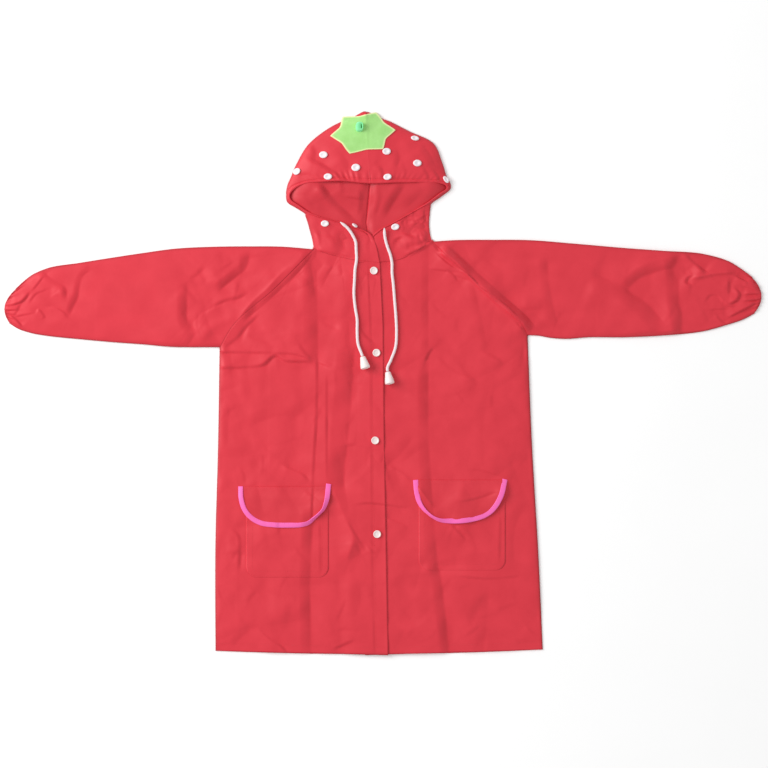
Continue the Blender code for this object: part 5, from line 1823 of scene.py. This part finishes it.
# %% [markdown]
# ## Seeds
# The strawberry's seeds are small oval domes of soft white plastic with a shallow dimple. Each is a
# profile turned about the cloth's own direction at its place and stretched into an oval.

# %% Seeds on the hood
SEED_PROFILE = [  # height, radius as a share
    (0.0017, 0.0), (0.0018, 0.16), (0.0023, 0.38), (0.0028, 0.58),
    (0.0028, 0.76), (0.0023, 0.91), (0.0014, 1.0), (0.0006, 0.92),
    (-0.0002, 0.78), (-0.0006, 0.0),
]
# x, y, length, width, turn in degrees.
SEEDS = [
    (-0.092, 0.353, 0.014, 0.011, 0),
    (-0.1328, 0.3272, 0.0132, 0.0104, 20),
    (-0.085, 0.319, 0.0134, 0.0102, 0),
    (-0.042, 0.333, 0.014, 0.0118, 5),
    (0.0055, 0.358, 0.0134, 0.011, 0),
    (0.007, 0.3185, 0.0132, 0.01, 10),
    (0.0492, 0.3784, 0.0132, 0.008, -8),
    (0.053, 0.34, 0.0136, 0.0108, 0),
    (0.097, 0.3146, 0.0126, 0.0074, -54),
    (-0.09, 0.247, 0.0128, 0.0102, 0),
    (0.019, 0.242, 0.0132, 0.0102, 12),
]


def oval_cap(name, place, up, length, width, turn, stands_for):
    """The turned profile, its first direction along the oval's length."""
    turn = math.radians(turn)
    along = np.array([math.cos(turn), math.sin(turn), 0.0])
    along -= up * (along @ up)
    profile = [(height, share * width / 2) for height, share in SEED_PROFILE]
    turned_piece(
        name,
        profile,
        place,
        up,
        along,
        seed_plastic,
        stands_for,
        corners=36,
        wide=length / width,
    )


for number, (x, y, length, width, turn) in enumerate(SEEDS, start=1):
    place, up = hood_seat(x, y)
    oval_cap(f"seed_{number:02d}_dome", place, up, length, width, turn, [f"seed_{number:02d}"])
tucked = np.array([-0.0444, 0.243, 0.0072])
oval_cap("seed_tucked", tucked, np.array([0.55, 0.75, 0.36]), 0.01, 0.008, -28, ())
print(len(SEEDS) + 1, "seeds")

# %% [markdown]
# ## Leaf and stem
# The leaf is a six-tipped star of felt sewn on the crown. Its reach is a formula of the angle, sharp
# at the tips and hollow between them, and the slope of the crown squashes it. An attribute that
# grows to 1 at the rim lets the material pale the cut edge. The stem is a stub of rolled felt.

# %% Leaf
CALYX_REACH, CALYX_SQUASH, CALYX_TIPS, CALYX_TURN = 0.0525, 0.63, 6, math.radians(8)
CALYX_MIDDLE = (-0.031, 0.387)
FELT_WALL = 0.001


def calyx_edge(angle):
    """Reach of the leaf at an angle: 1 at a tip, 0.78 halfway between two, and a little longer at the
    two tips that point up and down, because the leaf is cut by hand.
    """
    phase = (angle * CALYX_TIPS / (2 * math.pi)) % 1.0
    nearness = np.abs(phase - 0.5) * 2
    return (0.78 + 0.22 * nearness**1.7) * (1 + 0.055 * np.cos(2 * (angle - math.radians(60))))


def calyx_grid(rings, spokes):
    """Rings of the star draped on the crown, never steeper than the felt can bend."""
    angle = np.linspace(0, 2 * math.pi, spokes, endpoint=False)
    share = np.linspace(0, 1, rings + 1)[1:] ** 0.9
    reach = CALYX_REACH * calyx_edge(angle - CALYX_TURN) * share[:, None]
    x = CALYX_MIDDLE[0] + reach * np.cos(angle)
    y = CALYX_MIDDLE[1] + reach * CALYX_SQUASH * np.sin(angle)
    near = [hood_z(x + 0.008 * i, y + 0.008 * j) for i in (-1, 0, 1) for j in (-1, 0, 1)]
    z = np.maximum(np.mean(near, axis=0), hood_z(x, y) - 0.0002)
    pucker = 0.0005 * np.sin(5 * angle + 0.8) * share[:, None] ** 2
    z = z + 0.0011 + pucker
    for k in range(1, rings):
        step = np.hypot(x[k] - x[k - 1], y[k] - y[k - 1])
        z[k] = np.maximum(z[k], z[k - 1] - 1.1 * step)
    return np.dstack([x, y, z]), share


rings, spokes = 30, 180
grid, share = calyx_grid(rings, spokes)
rim = smooth_step((share - 0.9) / 0.08)
points = np.concatenate([grid.reshape(-1, 3), [[*CALYX_MIDDLE, grid[0, :, 2].mean()]]])
here = np.arange(spokes)
fan = np.stack([np.full(spokes, rings * spokes), here, (here + 1) % spokes], axis=1)
calyx = add_piece(
    "calyx_felt",
    points,
    [quads_of(rings, spokes, True)[:, ::-1], fan],
    leaf_cloth,
    ["calyx"],
    edge=np.r_[np.repeat(rim, spokes), 0.0],
)
give_wall(calyx, FELT_WALL)
declare_cloth(grid, loop=True)
print("leaf", len(calyx.data.polygons), "faces")

# %% Stem
STEM_PLACE = (-0.0368, 0.3952)
STEM_TOP, STEM_SIDES = 0.0085, 44


def stem_points():
    """A short loop of rolled felt. Round the loop, each profile climbs the outside, rolls over the top
    and goes down into the slit, which is narrow and nearer the right side.
    """
    around = np.linspace(0, 2 * math.pi, STEM_SIDES, endpoint=False)[:, None]
    square = (np.abs(np.cos(around)) ** 3 + np.abs(np.sin(around)) ** 3) ** (-1 / 3)
    outside = np.c_[0.0058 * square * np.cos(around), 0.007 * square * np.sin(around)]
    slit = np.c_[0.0034 + 0.0005 * np.cos(around), 0.0034 * np.sin(around)]
    into = np.array([0.0, 0.0, 0.0, 0.05, 0.22, 0.55, 0.85, 1.0, 1.0, 1.0])
    height = np.array([-0.001, 0.002, 0.0055, 0.0074, 0.0084, 0.0085, 0.0078, 0.006, 0.003, 0.001])
    flat = outside[:, None] * (1 - into)[None, :, None] + slit[:, None] * into[None, :, None]
    base = float(hood_z(*STEM_PLACE)) + 0.0012
    lean = np.stack([0.1 * height, 0.25 * height], axis=-1)
    rise = np.broadcast_to(base + height * STEM_TOP / height.max(), flat.shape[:2])
    return np.dstack([flat + STEM_PLACE + lean, rise])


points = stem_points()
stem_faces = quads_of(STEM_SIDES + 1, points.shape[1], True) % (STEM_SIDES * points.shape[1])
stem = add_piece("stem_roll", points, stem_faces, stem_cloth, ["stem"], closed=True)
rounded(stem)
print("stem", len(stem.data.polygons), "faces")

# %% [markdown]
# ## Snaps
# Four snaps close the front. What shows of each is its cap: a flat white button with a raised rim.
# They stay fastened, so a cap simply sits square on the cloth.

# %% Snap caps down the front
SNAPS = [(-0.014, 0.174), (-0.01, 0.047), (-0.012, -0.089), (-0.009, -0.234)]
SNAP_PROFILE = [
    (0.002, 0.0), (0.002, 0.002), (0.0021, 0.0034), (0.0027, 0.0042),
    (0.0032, 0.005), (0.003, 0.0058), (0.002, 0.0062), (0.001, 0.0056),
    (-0.0002, 0.0046), (-0.0006, 0.0),
]
SNAP_STEP = 0.004  # the cloth's slope is measured this far out on each side

for number, (x, y) in enumerate(SNAPS, start=1):
    beside_x = np.array([x, x + SNAP_STEP, x - SNAP_STEP, x, x])
    beside_y = np.array([y, y, y, y + SNAP_STEP, y - SNAP_STEP])
    at = front_height("right", beside_x, beside_y)
    up = np.array([(at[2] - at[1]) / (2 * SNAP_STEP), (at[4] - at[3]) / (2 * SNAP_STEP), 1.0])
    up /= np.linalg.norm(up)
    turned_piece(
        f"snap_{number}_cap",
        SNAP_PROFILE,
        np.array([x, y, at.max() + WALL / 2]),
        up,
        (1.0, 0.0, 0.0),
        white_plastic,
        [f"snap_{number}"],
    )
print(len(SNAPS), "snaps")
